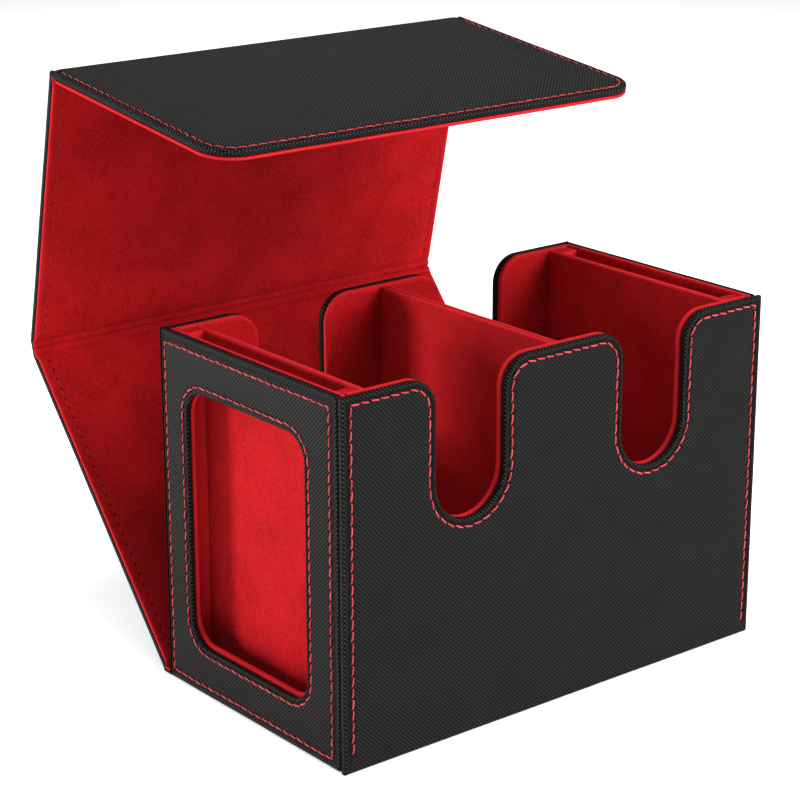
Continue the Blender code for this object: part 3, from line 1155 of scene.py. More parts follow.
class Seamstress:
    """Sews runs of stitches, always in the same way."""

    def __init__(self, sewing: Sewing, seed: int) -> None:
        """Threads the machine.

        Args:
            sewing: the seam's measures.
            seed: which small irregularities it has.
        """
        self.sewing = sewing
        self.chance = np.random.default_rng(seed)

    def stitch(self, surface: Surface, place: np.ndarray, along: np.ndarray, off: np.ndarray) -> None:
        """Adds one stitch.

        Args:
            surface: the mesh that it goes into.
            place: points of the seam below it, in order.
            along: the seam's direction at each.
            off: the direction off the surface at each.
        """
        sewing = self.sewing
        shares = np.linspace(0, 1, len(place))
        side = np.cross(along, off)
        lean = sewing.slant * (1 + 0.35 * self.chance.standard_normal())
        shift = 0.05 * MM * self.chance.standard_normal()
        arch = np.sin(np.pi * shares) ** 0.38
        height = -sewing.sink + (sewing.sink + sewing.lift) * arch * (1 + 0.08 * self.chance.standard_normal())
        centre = place + side * (lean * (2 * shares - 1) + shift)[:, None] + off * height[:, None]
        radius = sewing.radius * (0.55 + 0.45 * arch) * (1 + 0.06 * self.chance.standard_normal())
        turns = np.linspace(0, math.tau, 8, endpoint=False)
        ring = np.cos(turns)[None, :, None] * side[:, None] + np.sin(turns)[None, :, None] * off[:, None] * 0.85
        points = centre[:, None] + ring * radius[:, None, None]
        weave = np.zeros((len(place), 9, 3))
        weave[..., 0] = (shares * sewing.length)[:, None]
        weave[..., 1] = np.linspace(0, 1, 9)
        weave[..., 2] = self.chance.random()
        first = surface.add_grid(points, weave, np.zeros_like(weave))
        circle = np.column_stack([np.cos(turns), np.sin(turns)])
        for row in (0, len(place) - 1):
            surface.add_cap([(first + 8 * row, circle)], [weave[row]], (0.0, 0.0, 0.0))

    def sew(self, name: str, runs: Iterable[Run]) -> bpy.types.Object:
        """Sews runs into one piece of thread.

        Args:
            name: the piece's name.
            runs: the runs.

        Returns:
            The piece.
        """
        surface = Surface()
        for run in runs:
            path = np.vstack([run.path, run.path[:1]]) if run.closed else run.path
            off = np.vstack([run.off, run.off[:1]]) if run.closed else run.off
            sewn = np.append(run.sewn, run.sewn[:1]) if run.closed else run.sewn
            spans = np.linalg.norm(np.diff(path, axis=0), axis=1)
            place = np.concatenate([[0.0], np.cumsum(spans)])
            count = self.sewing.count(place[-1])
            pitch = place[-1] / count
            for number in range(count):
                middle = (number + 0.5) * pitch
                length = min(self.sewing.length, pitch * 0.97) * (1 + 0.02 * self.chance.standard_normal())
                where = middle + length * np.linspace(-0.5, 0.5, 8)
                if np.interp([where[0], where[-1]], place, sewn).min() < 0.5:
                    continue
                at = np.column_stack([np.interp(where, place, path[:, axis]) for axis in range(3)])
                up = np.column_stack([np.interp(where, place, off[:, axis]) for axis in range(3)])
                up /= np.linalg.norm(up, axis=1)[:, None]
                along = np.gradient(at, axis=0)
                along /= np.linalg.norm(along, axis=1)[:, None]
                self.stitch(surface, at, along, up)
        return surface.build(name, 80.0)


class Layer:
    """A flat layer of a wall or panel: a skin or a lining."""

    def __init__(self, outline: Outline, rings: Sequence[Ring], placement: Placement, sewing: Sewing | None) -> None:
        """Sets out a layer.

        Args:
            outline: its outline.
            rings: the steps round its edge, from hidden side to face.
            placement: where it stands.
            sewing: the seam along its edge, if it has one.
        """
        self.outline = outline
        self.rings = rings
        self.placement = placement
        self.sewing = sewing

    def build(self, name: str) -> bpy.types.Object:
        """Makes the layer's mesh.

        Args:
            name: the piece's name.

        Returns:
            The piece.
        """
        surface = Surface()
        drawn = [self.outline.loops(ring.inset * MM, ring.base * MM) for ring in self.rings]
        unrolled = [self.outline.loops(ring.weave * MM, max(ring.base, 0.0) * MM) for ring in self.rings]
        seams = self.outline.loops(self.outline.seam, self.outline.rim)
        plain = self.outline.loops(0.0, 0.0)
        ends: list[list[tuple[int, np.ndarray]]] = [[], []]
        weaves: list[list[np.ndarray]] = [[], []]
        for loop, seam in enumerate(seams):
            pressed = self.outline.pressed(plain[loop])
            count = self._stitch_count(seam)
            lengths = np.linalg.norm(np.diff(np.vstack([seam, seam[:1]]), axis=0), axis=1)
            phase = np.concatenate([[0.0], np.cumsum(lengths)]) / lengths.sum() * count
            present = np.append(pressed, pressed[:1]) * (1.0 if self.sewing else 0.0)
            rows, weave_rows, sewn_rows = [], [], []
            for ring, flats, places in zip(self.rings, drawn, unrolled):
                depth = self.outline.held(plain[loop], (ring.depth + ring.press * pressed) * MM)
                rows.append(self.placement.point(flats[loop], depth))
                weave = self.placement.weave(places[loop], ring.wear)
                weave_rows.append(np.vstack([weave, weave[:1]]))
                across = np.full(len(phase), ring.inset * MM - self.outline.seam)
                on_face = 1.0 if ring.depth == 0.0 else 0.0
                sewn_rows.append(np.column_stack([phase, across, present * on_face]))
            first = surface.add_grid(np.stack(rows), np.stack(weave_rows), np.stack(sewn_rows))
            for end, row in enumerate((0, len(rows) - 1)):
                ends[end].append((first + row * len(seam), drawn[row][loop]))
                weaves[end].append(weave_rows[row])
        for end in (0, 1):
            surface.add_cap(ends[end], weaves[end], (0.0, 1.0, 0.0))
        return surface.build(name)

    def _stitch_count(self, seam: np.ndarray) -> int:
        """How many stitches go round a loop."""
        closed = np.vstack([seam, seam[:1]])
        length = float(np.linalg.norm(np.diff(closed, axis=0), axis=1).sum())
        return (self.sewing or Sewing()).count(length)

    def runs(self, depth: float) -> list[Run]:
        """The layer's seams as runs of stitches.

        Args:
            depth: how deep the seam's groove is, in metres.

        Returns:
            One run for each loop.
        """
        made = []
        off = np.array(self.placement.frame.to_3x3() @ Vector((0, 0, -self.placement.inwards)))
        plain = self.outline.loops(0.0, 0.0)
        for loop, seam in enumerate(self.outline.loops(self.outline.seam, self.outline.rim)):
            path = self.placement.point(seam, depth)
            made.append(Run(path, np.tile(off, (len(path), 1)), self.outline.pressed(plain[loop])))
        return made


@dataclass(frozen=True)
class Fold:
    """One fold of the cover: its axis, the cover's direction before it and how far it bends there, in degrees."""

    y: float
    z: float
    before: float
    bend: float

    def at(self, turn: float, along: float, depth: float) -> Pair:
        """A point near the fold.

        Args:
            turn: how much of the bend lies behind the point, from 0 to 1.
            along: its distance past the axis.
            depth: its distance from the axis towards the lining.

        Returns:
            Its Y and Z.
        """
        angle = math.radians(self.before + self.bend * turn)
        cosine, sine = math.cos(angle), math.sin(angle)
        return self.y + along * cosine - depth * sine, self.z + along * sine + depth * cosine

    def frame(self) -> Matrix:
        """The frame of the panel that starts at this fold."""
        turn = Matrix.Rotation(math.radians(self.before + self.bend), 4, "X")
        return Matrix.Translation((0.0, self.y, self.z)) @ turn

    def zone(self, reach: float) -> tuple[Triple, Triple]:
        """Where the bending starts and ends, for a piece that crosses the fold.

        Args:
            reach: how far it reaches to each side of the fold's middle line.

        Returns:
            Two points.
        """
        low, high = self.at(0.5, -reach, 0.0), self.at(0.5, reach, 0.0)
        return (0.0, *low), (0.0, *high)


@dataclass(frozen=True)
class Station:
    """A line across the cover: its hidden side and its visible face, in Y and Z, and its distance along the cover."""

    back: Pair
    face: Pair
    run: float
    widen: float = 0.0
    press: float = 1.0


class Strip:
    """A layer of the cover that follows a path across its folds."""

    def __init__(self, rings: Sequence[Ring], thickness: float, half_width: float, seam: float) -> None:
        """Sets out a strip.

        Args:
            rings: the steps round its two side edges, from hidden side to face.
            thickness: the thickness that the steps are drawn for, in millimetres.
            half_width: half its width.
            seam: how far in its seam is.
        """
        self.rings = [Ring(6.0, 0.0, thickness, 6.0), *rings, Ring(7.5, 0.0, 0.0, 7.5)]
        self.thickness = thickness
        self.half_width = half_width
        self.seam = seam

    def build(self, name: str, stations: Sequence[Station], sewing: Sewing | None) -> bpy.types.Object:
        """Makes the strip's mesh.

        Args:
            name: the piece's name.
            stations: the lines that it passes through.
            sewing: the seam along its sides, if it has one.

        Returns:
            The piece.
        """
        surface = Surface()
        columns = [(1, ring) for ring in self.rings] + [(-1, ring) for ring in reversed(self.rings)]
        pitch = (sewing or Sewing()).pitch
        points, weave, sewn = [], [], []
        for station in stations:
            back, face = np.array(station.back), np.array(station.face)
            inwards = (back - face) / np.linalg.norm(back - face)
            row, row_weave, row_sewn = [], [], []
            for side, ring in columns:
                level = 1 - ring.depth / self.thickness
                y, z = back + (face - back) * level + inwards * ring.press * station.press * MM
                row.append((side * (self.half_width - ring.inset * MM + station.widen), y, z))
                row_weave.append((side * (self.half_width - ring.weave * MM), station.run, ring.wear))
                present = 1.0 if sewing and ring.depth == 0.0 else 0.0
                row_sewn.append((station.run / pitch, ring.inset * MM - self.seam, present))
            points.append(row)
            weave.append(row_weave + row_weave[:1])
            sewn.append(row_sewn + row_sewn[:1])
        first = surface.add_grid(wavered(np.array(points)), np.array(weave), np.array(sewn))
        width = len(columns)
        for row in (0, len(stations) - 1):
            shape = np.array([(side * (100.0 - ring.inset), -ring.depth) for side, ring in columns])
            surface.add_cap([(first + row * width, shape)], [np.array(weave[row])], (0.0, 1.0, 0.0))
        return surface.build(name)

    def runs(self, stations: Sequence[Station], start: float, end: float, depth: float) -> list[Run]:
        """The seams along the strip's two sides.

        Args:
            stations: the lines that the strip passes through.
            start: where the seams start along the cover.
            end: where they end.
            depth: how deep their groove is.

        Returns:
            Two runs.
        """
        made = []
        for side in (1, -1):
            path, off = [], []
            for station in stations:
                back, face = np.array(station.back), np.array(station.face)
                outwards = (face - back) / np.linalg.norm(face - back)
                y, z = face - outwards * depth
                path.append((side * (self.half_width - self.seam), y, z))
                off.append((0.0, *outwards))
            sewn = np.array([1.0 if start <= station.run <= end else 0.0 for station in stations])
            made.append(Run(wavered(np.array(path)), np.array(off), sewn, closed=False))
        return made


def build_bar(name: str, section: Sequence[Pair], low: float, high: float, top: float) -> bpy.types.Object:
    """A section in X and Z, drawn out along Y.

    Args:
        name: the piece's name.
        section: its outline.
        low: where it starts.
        high: where it ends.
        top: the height near which its edge gets a painted highlight.

    Returns:
        The piece.
    """
    surface = Surface()
    shape = np.array(section)
    rows = np.linspace(low, high, 15)
    points = np.array([[(x, y, z) for x, z in shape] for y in rows])
    closed = np.vstack([shape, shape[:1]])
    around = np.concatenate([[0.0], np.cumsum(np.linalg.norm(np.diff(closed, axis=0), axis=1))])
    wear = np.clip(1 - (top - closed[:, 1]) / (1.2 * MM), 0, 1)
    weave = np.array([np.column_stack([np.full(len(closed), y), around, wear]) for y in rows])
    first = surface.add_grid(wavered(points), weave, np.zeros_like(weave))
    for row in (0, len(rows) - 1):
        surface.add_cap([(first + row * len(shape), shape)], [weave[row]], (0.0, 1.0, 0.0))
    return surface.build(name, 60.0)


# ---------------------------------------------------------------- the box body

LEATHERETTE = Leatherette()
MICROFIBRE = Microfibre()
EDGE_SEWING = Sewing()
LINING_SEWING = Sewing(radius=0.20 * MM, lift=0.02 * MM, sink=0.25 * MM, slant=0.03 * MM, length=2.3 * MM)
EDGE_THREAD = Thread()
LINING_THREAD = Thread(dark=(0.44, 0.014, 0.020), lit=(0.62, 0.034, 0.044))


def turned(location: Triple, turn: Triple) -> Matrix:
    """A frame at a place, turned about X, Y and Z in degrees.

    Args:
        location: the place.
        turn: the turns.

    Returns:
        The frame.
    """
    from_turns = Matrix.Identity(4)
    for angle, axis in zip(turn, "XYZ"):
        from_turns = Matrix.Rotation(math.radians(angle), 4, axis) @ from_turns
    return Matrix.Translation(location) @ from_turns


@dataclass(frozen=True)
class LongWall:
    """A long wall with two thumb notches: a skin and a lining over the board."""

    name: str
    depth: float
    front: bool
    skin_bottom: float
    skin_half_width: float
    lining_bottom: float = 2.9 * MM
    lining_half_width: float = 76.55 * MM
    tray: float = 2.5 * MM
    total: float = 4.6 * MM
    lining: float = 1.9 * MM
    side_depth: float = 1.0
    seed: int = 1

    @property
    def frame(self) -> Matrix:
        """The wall's own frame, with its Z pointing into the box."""
        turn = (90, 0, 180) if self.front else (90, 0, 0)
        return turned((0.0, -self.depth if self.front else self.depth, 0.0), turn)

    def build(self) -> None:
        """Makes the skin, its sewing and the lining."""
        skin_place = Placement(self.frame, 0.0, 1, mirror=self.front)
        outline = NotchedOutline(
            bottom=self.skin_bottom, half_width=self.skin_half_width, side_depth=self.side_depth
        )
        skin = Layer(outline, skin_rings(self.tray / MM, 1.0, roll=0.95), skin_place, EDGE_SEWING)
        dress(skin.build(self.name + "_wall_skin"), LEATHERETTE, Body.BOX, self.name + "_skin")
        thread = Seamstress(EDGE_SEWING, self.seed).sew(self.name + "_wall_sewing", skin.runs(0.20 * MM))
        dress(thread, EDGE_THREAD, Body.BOX)
        outline = NotchedOutline(bottom=self.lining_bottom, half_width=self.lining_half_width)
        lining_place = Placement(self.frame, self.total, -1, mirror=self.front)
        lining = Layer(outline, lining_rings(self.lining / MM), lining_place, None)
        dress(lining.build(self.name + "_wall_lining"), MICROFIBRE, Body.BOX, self.name + "_lining")


@dataclass(frozen=True)
class EndWall:
    """A windowed end wall: a skin and a lining over the board."""

    side: Side
    half_length: float = 80.25 * MM
    lining_bottom: float = 2.9 * MM
    tray: float = 1.6 * MM
    total: float = 3.5 * MM
    lining: float = 1.7 * MM
    seed: int = 3

    @property
    def frame(self) -> Matrix:
        """The wall's own frame, with its Z pointing into the box."""
        turn = (90, 0, -90 * self.side.value)
        return turned((self.side.value * self.half_length, 0.0, 0.0), turn)

    def build(self) -> None:
        """Makes the skin, its sewing and the lining."""
        label = self.side.label
        sign = -self.side.value
        mirror = self.side is Side.RIGHT
        outline = WindowOutline(sign=sign)
        skin = Layer(outline, skin_rings(self.tray / MM, 0.7), Placement(self.frame, 0.0, 1, mirror), EDGE_SEWING)
        dress(skin.build(label + "_wall_skin"), LEATHERETTE, Body.BOX, label + "_skin")
        thread = Seamstress(EDGE_SEWING, self.seed).sew(label + "_wall_sewing", skin.runs(0.20 * MM))
        dress(thread, EDGE_THREAD, Body.BOX)
        outline = WindowOutline(sign=sign, back=40.95 * MM, bottom=self.lining_bottom, sill_lip=1.0 * MM)
        place = Placement(self.frame, self.total, -1, mirror)
        lining = Layer(outline, lining_rings(self.lining / MM), place, None)
        dress(lining.build(label + "_wall_lining"), MICROFIBRE, Body.BOX, label + "_lining")


@dataclass(frozen=True)
class Inserts:
    """What stands inside the box: base skin, floor pads, slot panels and spacers, and the divider."""

    floor_low: float = 2.9 * MM
    floor_high: float = 4.4 * MM
    top: float = 109.5 * MM
    half_depth: float = 38.85 * MM
    slot_half: float = 34.55 * MM
    slot_inner: float = 70.55 * MM
    slot_outer: float = 76.75 * MM
    well_outer: float = 68.15 * MM
    divider: float = 1.6 * MM
    glue: float = 0.2 * MM
    wrap: float = 0.5 * MM

    def build(self) -> None:
        """Makes every insert."""
        self.build_base()
        for side in Side:
            self.build_floors(side)
            self.build_slot_panel(side)
            self.build_spacers(side)
            self.build_divider(side)

    def build_base(self) -> None:
        """The leatherette under the box, which runs back towards the cover's fold."""
        outline = PanelOutline(left=-78.45 * MM, right=78.45 * MM, low=-40.95 * MM, high=42.80 * MM)
        rings = [
            Ring(0.3, 0.3, 0.9, 2.0),
            Ring(0.0, 0.0, 0.6, 1.4),
            Ring(0.0, 0.0, 0.3, 0.9),
            Ring(0.1, 0.1, 0.08, 0.4),
            Ring(0.3, 0.3, 0.0, 0.3),
            Ring(2.0, 2.0, 0.0, 2.0),
        ]
        base = Layer(outline, rings, Placement(Matrix.Identity(4), 0.0, 1), None)
        dress(base.build("base_leather"), LEATHERETTE, Body.BOX, "base_skin")

    def pad(self, name: str, plan: tuple[float, float, float, float], low: float, high: float, *nodes: str) -> None:
        """A lined pad with soft edges.

        Args:
            name: the piece's name.
            plan: its left, right, front and back.
            low: its underside.
            high: its top.
            nodes: the frame's nodes that it replaces.
        """
        left, right, front, back = plan
        outline = PanelOutline(left=left, right=right, low=front, high=back)
        rings = lining_rings((high - low) / MM)
        rings = [Ring(r.inset, r.inset, min(r.depth, (high - low) / MM), r.weave, 0.0, r.wear) for r in rings]
        made = Layer(outline, rings, Placement(Matrix.Identity(4), high, -1), None).build(name)
        dress(made, MICROFIBRE, Body.BOX, *nodes)

    def build_floors(self, side: Side) -> None:
        """The pads on the floor of a well and of a slot."""
        for use, near, far, half in (
            ("deck", self.divider + 1.5 * self.glue, self.well_outer - self.glue, self.half_depth),
            ("slot", self.slot_inner + self.glue, self.slot_outer - self.glue, self.slot_half - self.glue),
        ):
            left, right = sorted((side.value * near, side.value * far))
            node = f"{side.label}_{use}_floor"
            self.pad(node + "_pad", (left, right, -half, half), self.floor_low, self.floor_high, node)

    def build_slot_panel(self, side: Side) -> None:
        """The panel between a well and a slot, in its folded wrap."""
        middle = side.value * (self.slot_inner + self.well_outer) / 2
        outer = (self.slot_inner - self.well_outer) / 2
        inner = outer - self.wrap
        radius = 0.9 * MM
        section = [(-outer, self.floor_low), (-inner, self.floor_low), (-inner, self.top - self.wrap)]
        section += [(inner, self.top - self.wrap), (inner, self.floor_low), (outer, self.floor_low)]
        section += arc((outer - radius, self.top - radius), radius, 0, 90, 15)
        section += arc((radius - outer, self.top - radius), radius, 90, 180, 15)
        made = build_bar(
            side.label + "_slot_panel_wrap",
            [(middle + x, z) for x, z in section],
            -self.half_depth,
            self.half_depth,
            self.top,
        )
        dress(made, MICROFIBRE, Body.BOX, side.label + "_pocket_wrap")

    def build_spacers(self, side: Side) -> None:
        """The sticks that close a slot at its front and back."""
        left, right = sorted((side.value * (self.slot_inner + self.glue), side.value * (self.slot_outer - self.glue)))
        for end, label in ((-1, "front"), (1, "back")):
            front, back = sorted((end * self.slot_half, end * self.half_depth))
            node = f"{side.label}_slot_{label}_spacer"
            self.pad(node + "_stick", (left, right, front, back), self.floor_low, self.top, node)

    def build_divider(self, side: Side) -> None:
        """One of the two panels that stand back to back between the wells."""
        left, right = sorted((side.value * self.glue / 2, side.value * (self.glue / 2 + self.divider)))
        radius = 0.7 * MM
        section = [(left, self.floor_low), (right, self.floor_low)]
        section += arc((right - radius, self.top - radius), radius, 0, 90, 15)
        section += arc((left + radius, self.top - radius), radius, 90, 180, 15)
        made = build_bar(f"divider_{side.label}_lining", section, -self.half_depth, self.half_depth, self.top)
        dress(made, MICROFIBRE, Body.BOX, f"divider_{side.label}_panel")


# ---------------------------------------------------------------- the cover


@dataclass(frozen=True)
class Cover:
    """The cover that runs from under the box up its back, over its top and down its front."""

    half_length: float = 80.25 * MM
    base_y: float = 46.45 * MM
    base_z: float = 0.9 * MM
    back_panel: float = 108.37 * MM
    strip: float = 5.0 * MM
    lid: float = 89.69 * MM
    flap: float = 87.6 * MM
    flap_corner: float = 11.0 * MM
    crease: float = 70.0 * MM
    outer: float = -0.9 * MM
    lining_start: float = 1.3 * MM
    inner: float = 2.5 * MM
    skin_gap: float = 1.5 * MM
    rise: float = 50.0
    bends: tuple[float, float, float] = (26.0, 26.4, 84.6)
    folds: dict[str, Fold] = field(default_factory=dict)

    def __post_init__(self) -> None:
        """Works out the four folds of the open cover."""
        base = Fold(self.base_y, self.base_z, 0.0, self.rise)
        lower = Fold(*base.at(1, self.back_panel, 0), self.rise, self.bends[0])
        upper = Fold(*lower.at(1, self.strip, 0), lower.before + lower.bend, self.bends[1])
        front = Fold(*upper.at(1, self.lid, 0), upper.before + upper.bend, self.bends[2])
        self.folds.update(base=base, lower=lower, upper=upper, front=front)

    @property
    def runs(self) -> dict[str, float]:
        """How far along the cover each fold lies."""
        lower = self.back_panel
        upper = lower + self.strip
        return {"base": 0.0, "lower": lower, "upper": upper, "front": upper + self.lid}

    def station(self, fold: str, turn: float, along: float, back: float, face: float, **more: float) -> Station:
        """A line across the cover near a fold.

        Args:
            fold: the fold.
            turn: how much of the bend lies behind the line.
            along: its distance past the axis, in millimetres.
            back: the depth of the layer's hidden side, in millimetres from the axis.
            face: the depth of its visible face.
            more: the station's widening and press.

        Returns:
            The line.
        """
        near = self.folds[fold]
        run = self.runs[fold] + along * MM + (turn - 0.5) * math.radians(near.bend) * 0.9 * MM
        return Station(near.at(turn, along * MM, back * MM), near.at(turn, along * MM, face * MM), run, **more)

    def build(self) -> None:
        """Makes the cover from its back panel to its flap."""
        self.build_skins()
        self.build_flap()
        self.build_fold_leather()
        self.build_linings()
        self.build_fold_linings()

    def build_skins(self) -> None:
        """The skins of the back panel and the lid, and their sewing."""
        for seed, (fold, length, name, body, node) in enumerate(
            (
                ("base", self.back_panel, "back_panel_leather", Body.BACK_PANEL, "back_panel_skin"),
                ("upper", self.lid, "lid_leather", Body.LID, "lid_skin"),
            )
        ):
            outline = PanelOutline(
                left=-self.half_length,
                right=self.half_length,
                low=self.skin_gap,
                high=length - self.skin_gap,
                open_top=True,
            )
            place = Placement(self.folds[fold].frame(), self.outer, 1, run=self.runs[fold])
            skin = Layer(outline, skin_rings(2.0, 0.9, open_base=True), place, None)
            dress(skin.build(name), LEATHERETTE, body, node)
            runs = []
            for side in (1, -1):
                places = np.linspace(2.2 * MM, length - 2.2 * MM, 30)
                flat = np.array([(side * (self.half_length - 2.2 * MM), y) for y in places])
                off = np.array(place.frame.to_3x3() @ Vector((0, 0, -1)))
                runs.append(Run(place.point(flat, 0.2 * MM), np.tile(off, (30, 1)), np.ones(30), closed=False))
            thread = Seamstress(EDGE_SEWING, 10 + seed).sew(name.replace("leather", "sewing"), runs)
            dress(thread, EDGE_THREAD, body)

    def build_flap(self) -> None:
        """The flap's skin with its rounded corners, its sewing and its lining."""
        place = Placement(self.folds["front"].frame(), self.outer, 1, run=self.runs["front"])
        outline = FlapOutline(
            left=-self.half_length, right=self.half_length, low=self.skin_gap, high=self.flap, corner=self.flap_corner
        )
        skin = Layer(outline, skin_rings(2.0, 0.9, open_base=True), place, EDGE_SEWING)
        dress(skin.build("flap_leather"), LEATHERETTE, Body.FLAP, "flap_skin")
        dress(Seamstress(EDGE_SEWING, 20).sew("flap_sewing", skin.runs(0.20 * MM)), EDGE_THREAD, Body.FLAP)
        outline = FlapOutline(
            seam=3.2 * MM,
            left=-self.half_length,
            right=self.half_length,
            low=3.6 * MM,
            high=self.flap,
            corner=self.flap_corner,
        )
        place = Placement(self.folds["front"].frame(), self.inner, -1, run=self.runs["front"])
        lining = Layer(outline, lining_rings(1.2, open_base=True, seam=True), place, LINING_SEWING)
        dress(lining.build("flap_microfibre"), MICROFIBRE, Body.FLAP, "flap_lining")
        thread = Seamstress(LINING_SEWING, 21).sew("flap_lining_sewing", lining.runs(0.14 * MM))
        dress(thread, LINING_THREAD, Body.FLAP)

    def build_fold_leather(self) -> None:
        """The leatherette shaped round each fold, between two bodies."""
        edge = [ring for ring in skin_rings(2.0, 0.9, open_base=True)[2:]]
        edge = [Ring(r.inset, 0.0, min(r.depth, 1.8), r.weave, r.press, r.wear) for r in edge]
        strip = Strip(edge, 1.8, self.half_length, 2.2 * MM)

        def around(fold: str, steps: int, pinch: float) -> list[Station]:
            """The stations round a fold's outside."""
            shares = [index / steps for index in range(steps + 1)]
            made = []
            for share in shares:
                near = self.folds[fold]
                outside = near.at(share, 0.0, self.outer)
                inside = near.at(0.5, (share - 0.5) * 0.08 * MM, pinch * MM)
                run = self.runs[fold] + (share - 0.5) * math.radians(near.bend) * 0.9 * MM
                made.append(Station(inside, outside, run))
            return made

        pieces = (
            (
                "base_fold_leather",
                [self.station("base", 0, -3.6, 0.0, -0.9), self.station("base", 0, -0.8, 0.0, -0.9)],
                around("base", 6, 0.05),
                [self.station("base", 1, 0.9, 0.7, -0.9), self.station("base", 1, 1.58, 0.9, -0.9)],
                (Body.BOX, Body.BACK_PANEL),
                "base_fold_skin",
            ),
            (
                "rear_fold_lower_leather",
                [self.station("lower", 0, -1.58, 0.9, -0.9), self.station("lower", 0, -0.7, 0.9, -0.9)],
                around("lower", 4, 0.65),
                [self.station("lower", 1, 0.7, 0.9, -0.9), self.station("lower", 1, 2.5, 0.9, -0.9)],
                (Body.BACK_PANEL, Body.REAR_FOLD),
                "rear_fold_skin",
            ),
            (
                "rear_fold_upper_leather",
                [self.station("upper", 0, -2.5, 0.9, -0.9), self.station("upper", 0, -0.7, 0.9, -0.9)],
                around("upper", 4, 0.6),
                [self.station("upper", 1, 0.7, 0.9, -0.9), self.station("upper", 1, 1.58, 0.9, -0.9)],
                (Body.REAR_FOLD, Body.LID),
                "rear_fold_skin",
            ),
            (
                "front_fold_leather",
                [self.station("front", 0, -1.58, 0.9, -0.9), self.station("front", 0, -1.1, 0.8, -0.9)],
                around("front", 8, 0.3),
                [self.station("front", 1, 1.1, 0.8, -0.9), self.station("front", 1, 1.58, 0.9, -0.9)],
                (Body.LID, Body.FLAP),
                "front_fold_skin",
            ),
        )
        for name, before, bend, after, bodies, node in pieces:
            made = strip.build(name, [*before, *bend, *after], None)
            self.bend(made, name.rsplit("_", 1)[0], bodies)
            dress(made, LEATHERETTE, None, node)

    def bend(self, made: bpy.types.Object, name: str, bodies: tuple[Body, Body]) -> None:
        """Bakes a fold piece's transform into its mesh; the fold's bending zone is worked out but not used.

        Args:
            made: the piece.
            name: the fold's name in the piece's name.
            bodies: not used.
        """
        fold = {"base_fold": "base", "rear_fold_lower": "lower", "rear_fold_upper": "upper", "front_fold": "front"}
        near = self.folds[fold[name]]
        reach = 0.9 * MM * math.sin(math.radians(near.bend / 2)) if "leather" in made.name else 0.22 * MM
        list(near.zone(reach))
        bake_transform(made)

    def build_linings(self) -> None:
        """The linings of the back panel and the lid, and their tone-on-tone sewing."""
        strip = Strip(lining_rings(1.2, seam=True), 1.2, self.half_length, 3.2 * MM)
        stations = [
            self.station("base", 1, 2.3, 1.3, 2.45),
            self.station("base", 1, 4.0, 1.3, 2.5),
            self.station("base", 1, 30.0, 1.3, 2.5),
        ]
        for along, rise in (
            (60, 0.0),
            (65, 0.02),
            (67.4, 0.06),
            (68.6, 0.02),
            (69.3, -0.16),
            (69.8, -0.32),
            (70.3, -0.30),
            (70.8, -0.10),
            (71.4, 0.06),
            (72.4, 0.10),
            (75, 0.03),
            (80, 0.0),
        ):
            stations.append(self.station("base", 1, along, 1.3, 2.5 + rise, widen=0.00035 * max(0.0, -rise)))
        end = self.back_panel / MM
        stations += [self.station("base", 1, end - 12, 1.3, 2.5), self.station("base", 1, end - 2.6, 1.3, 2.5)]
        made = strip.build("back_panel_microfibre", stations, LINING_SEWING)
        dress(made, MICROFIBRE, Body.BACK_PANEL, "back_panel_lining")
        runs = strip.runs(stations, 3 * MM, self.back_panel - 2.6 * MM, 0.14 * MM)
        dress(Seamstress(LINING_SEWING, 30).sew("back_panel_lining_sewing", runs), LINING_THREAD, Body.BACK_PANEL)
        end = self.lid / MM
        stations = [self.station("upper", 1, along, 1.3, 2.5) for along in (2.9, 20, 45, 70, end - 3.6)]
        made = strip.build("lid_microfibre", stations, LINING_SEWING)
        dress(made, MICROFIBRE, Body.LID, "lid_lining")
        start = self.runs["upper"]
        runs = strip.runs(stations, start, start + self.lid, 0.14 * MM)
        dress(Seamstress(LINING_SEWING, 31).sew("lid_lining_sewing", runs), LINING_THREAD, Body.LID)

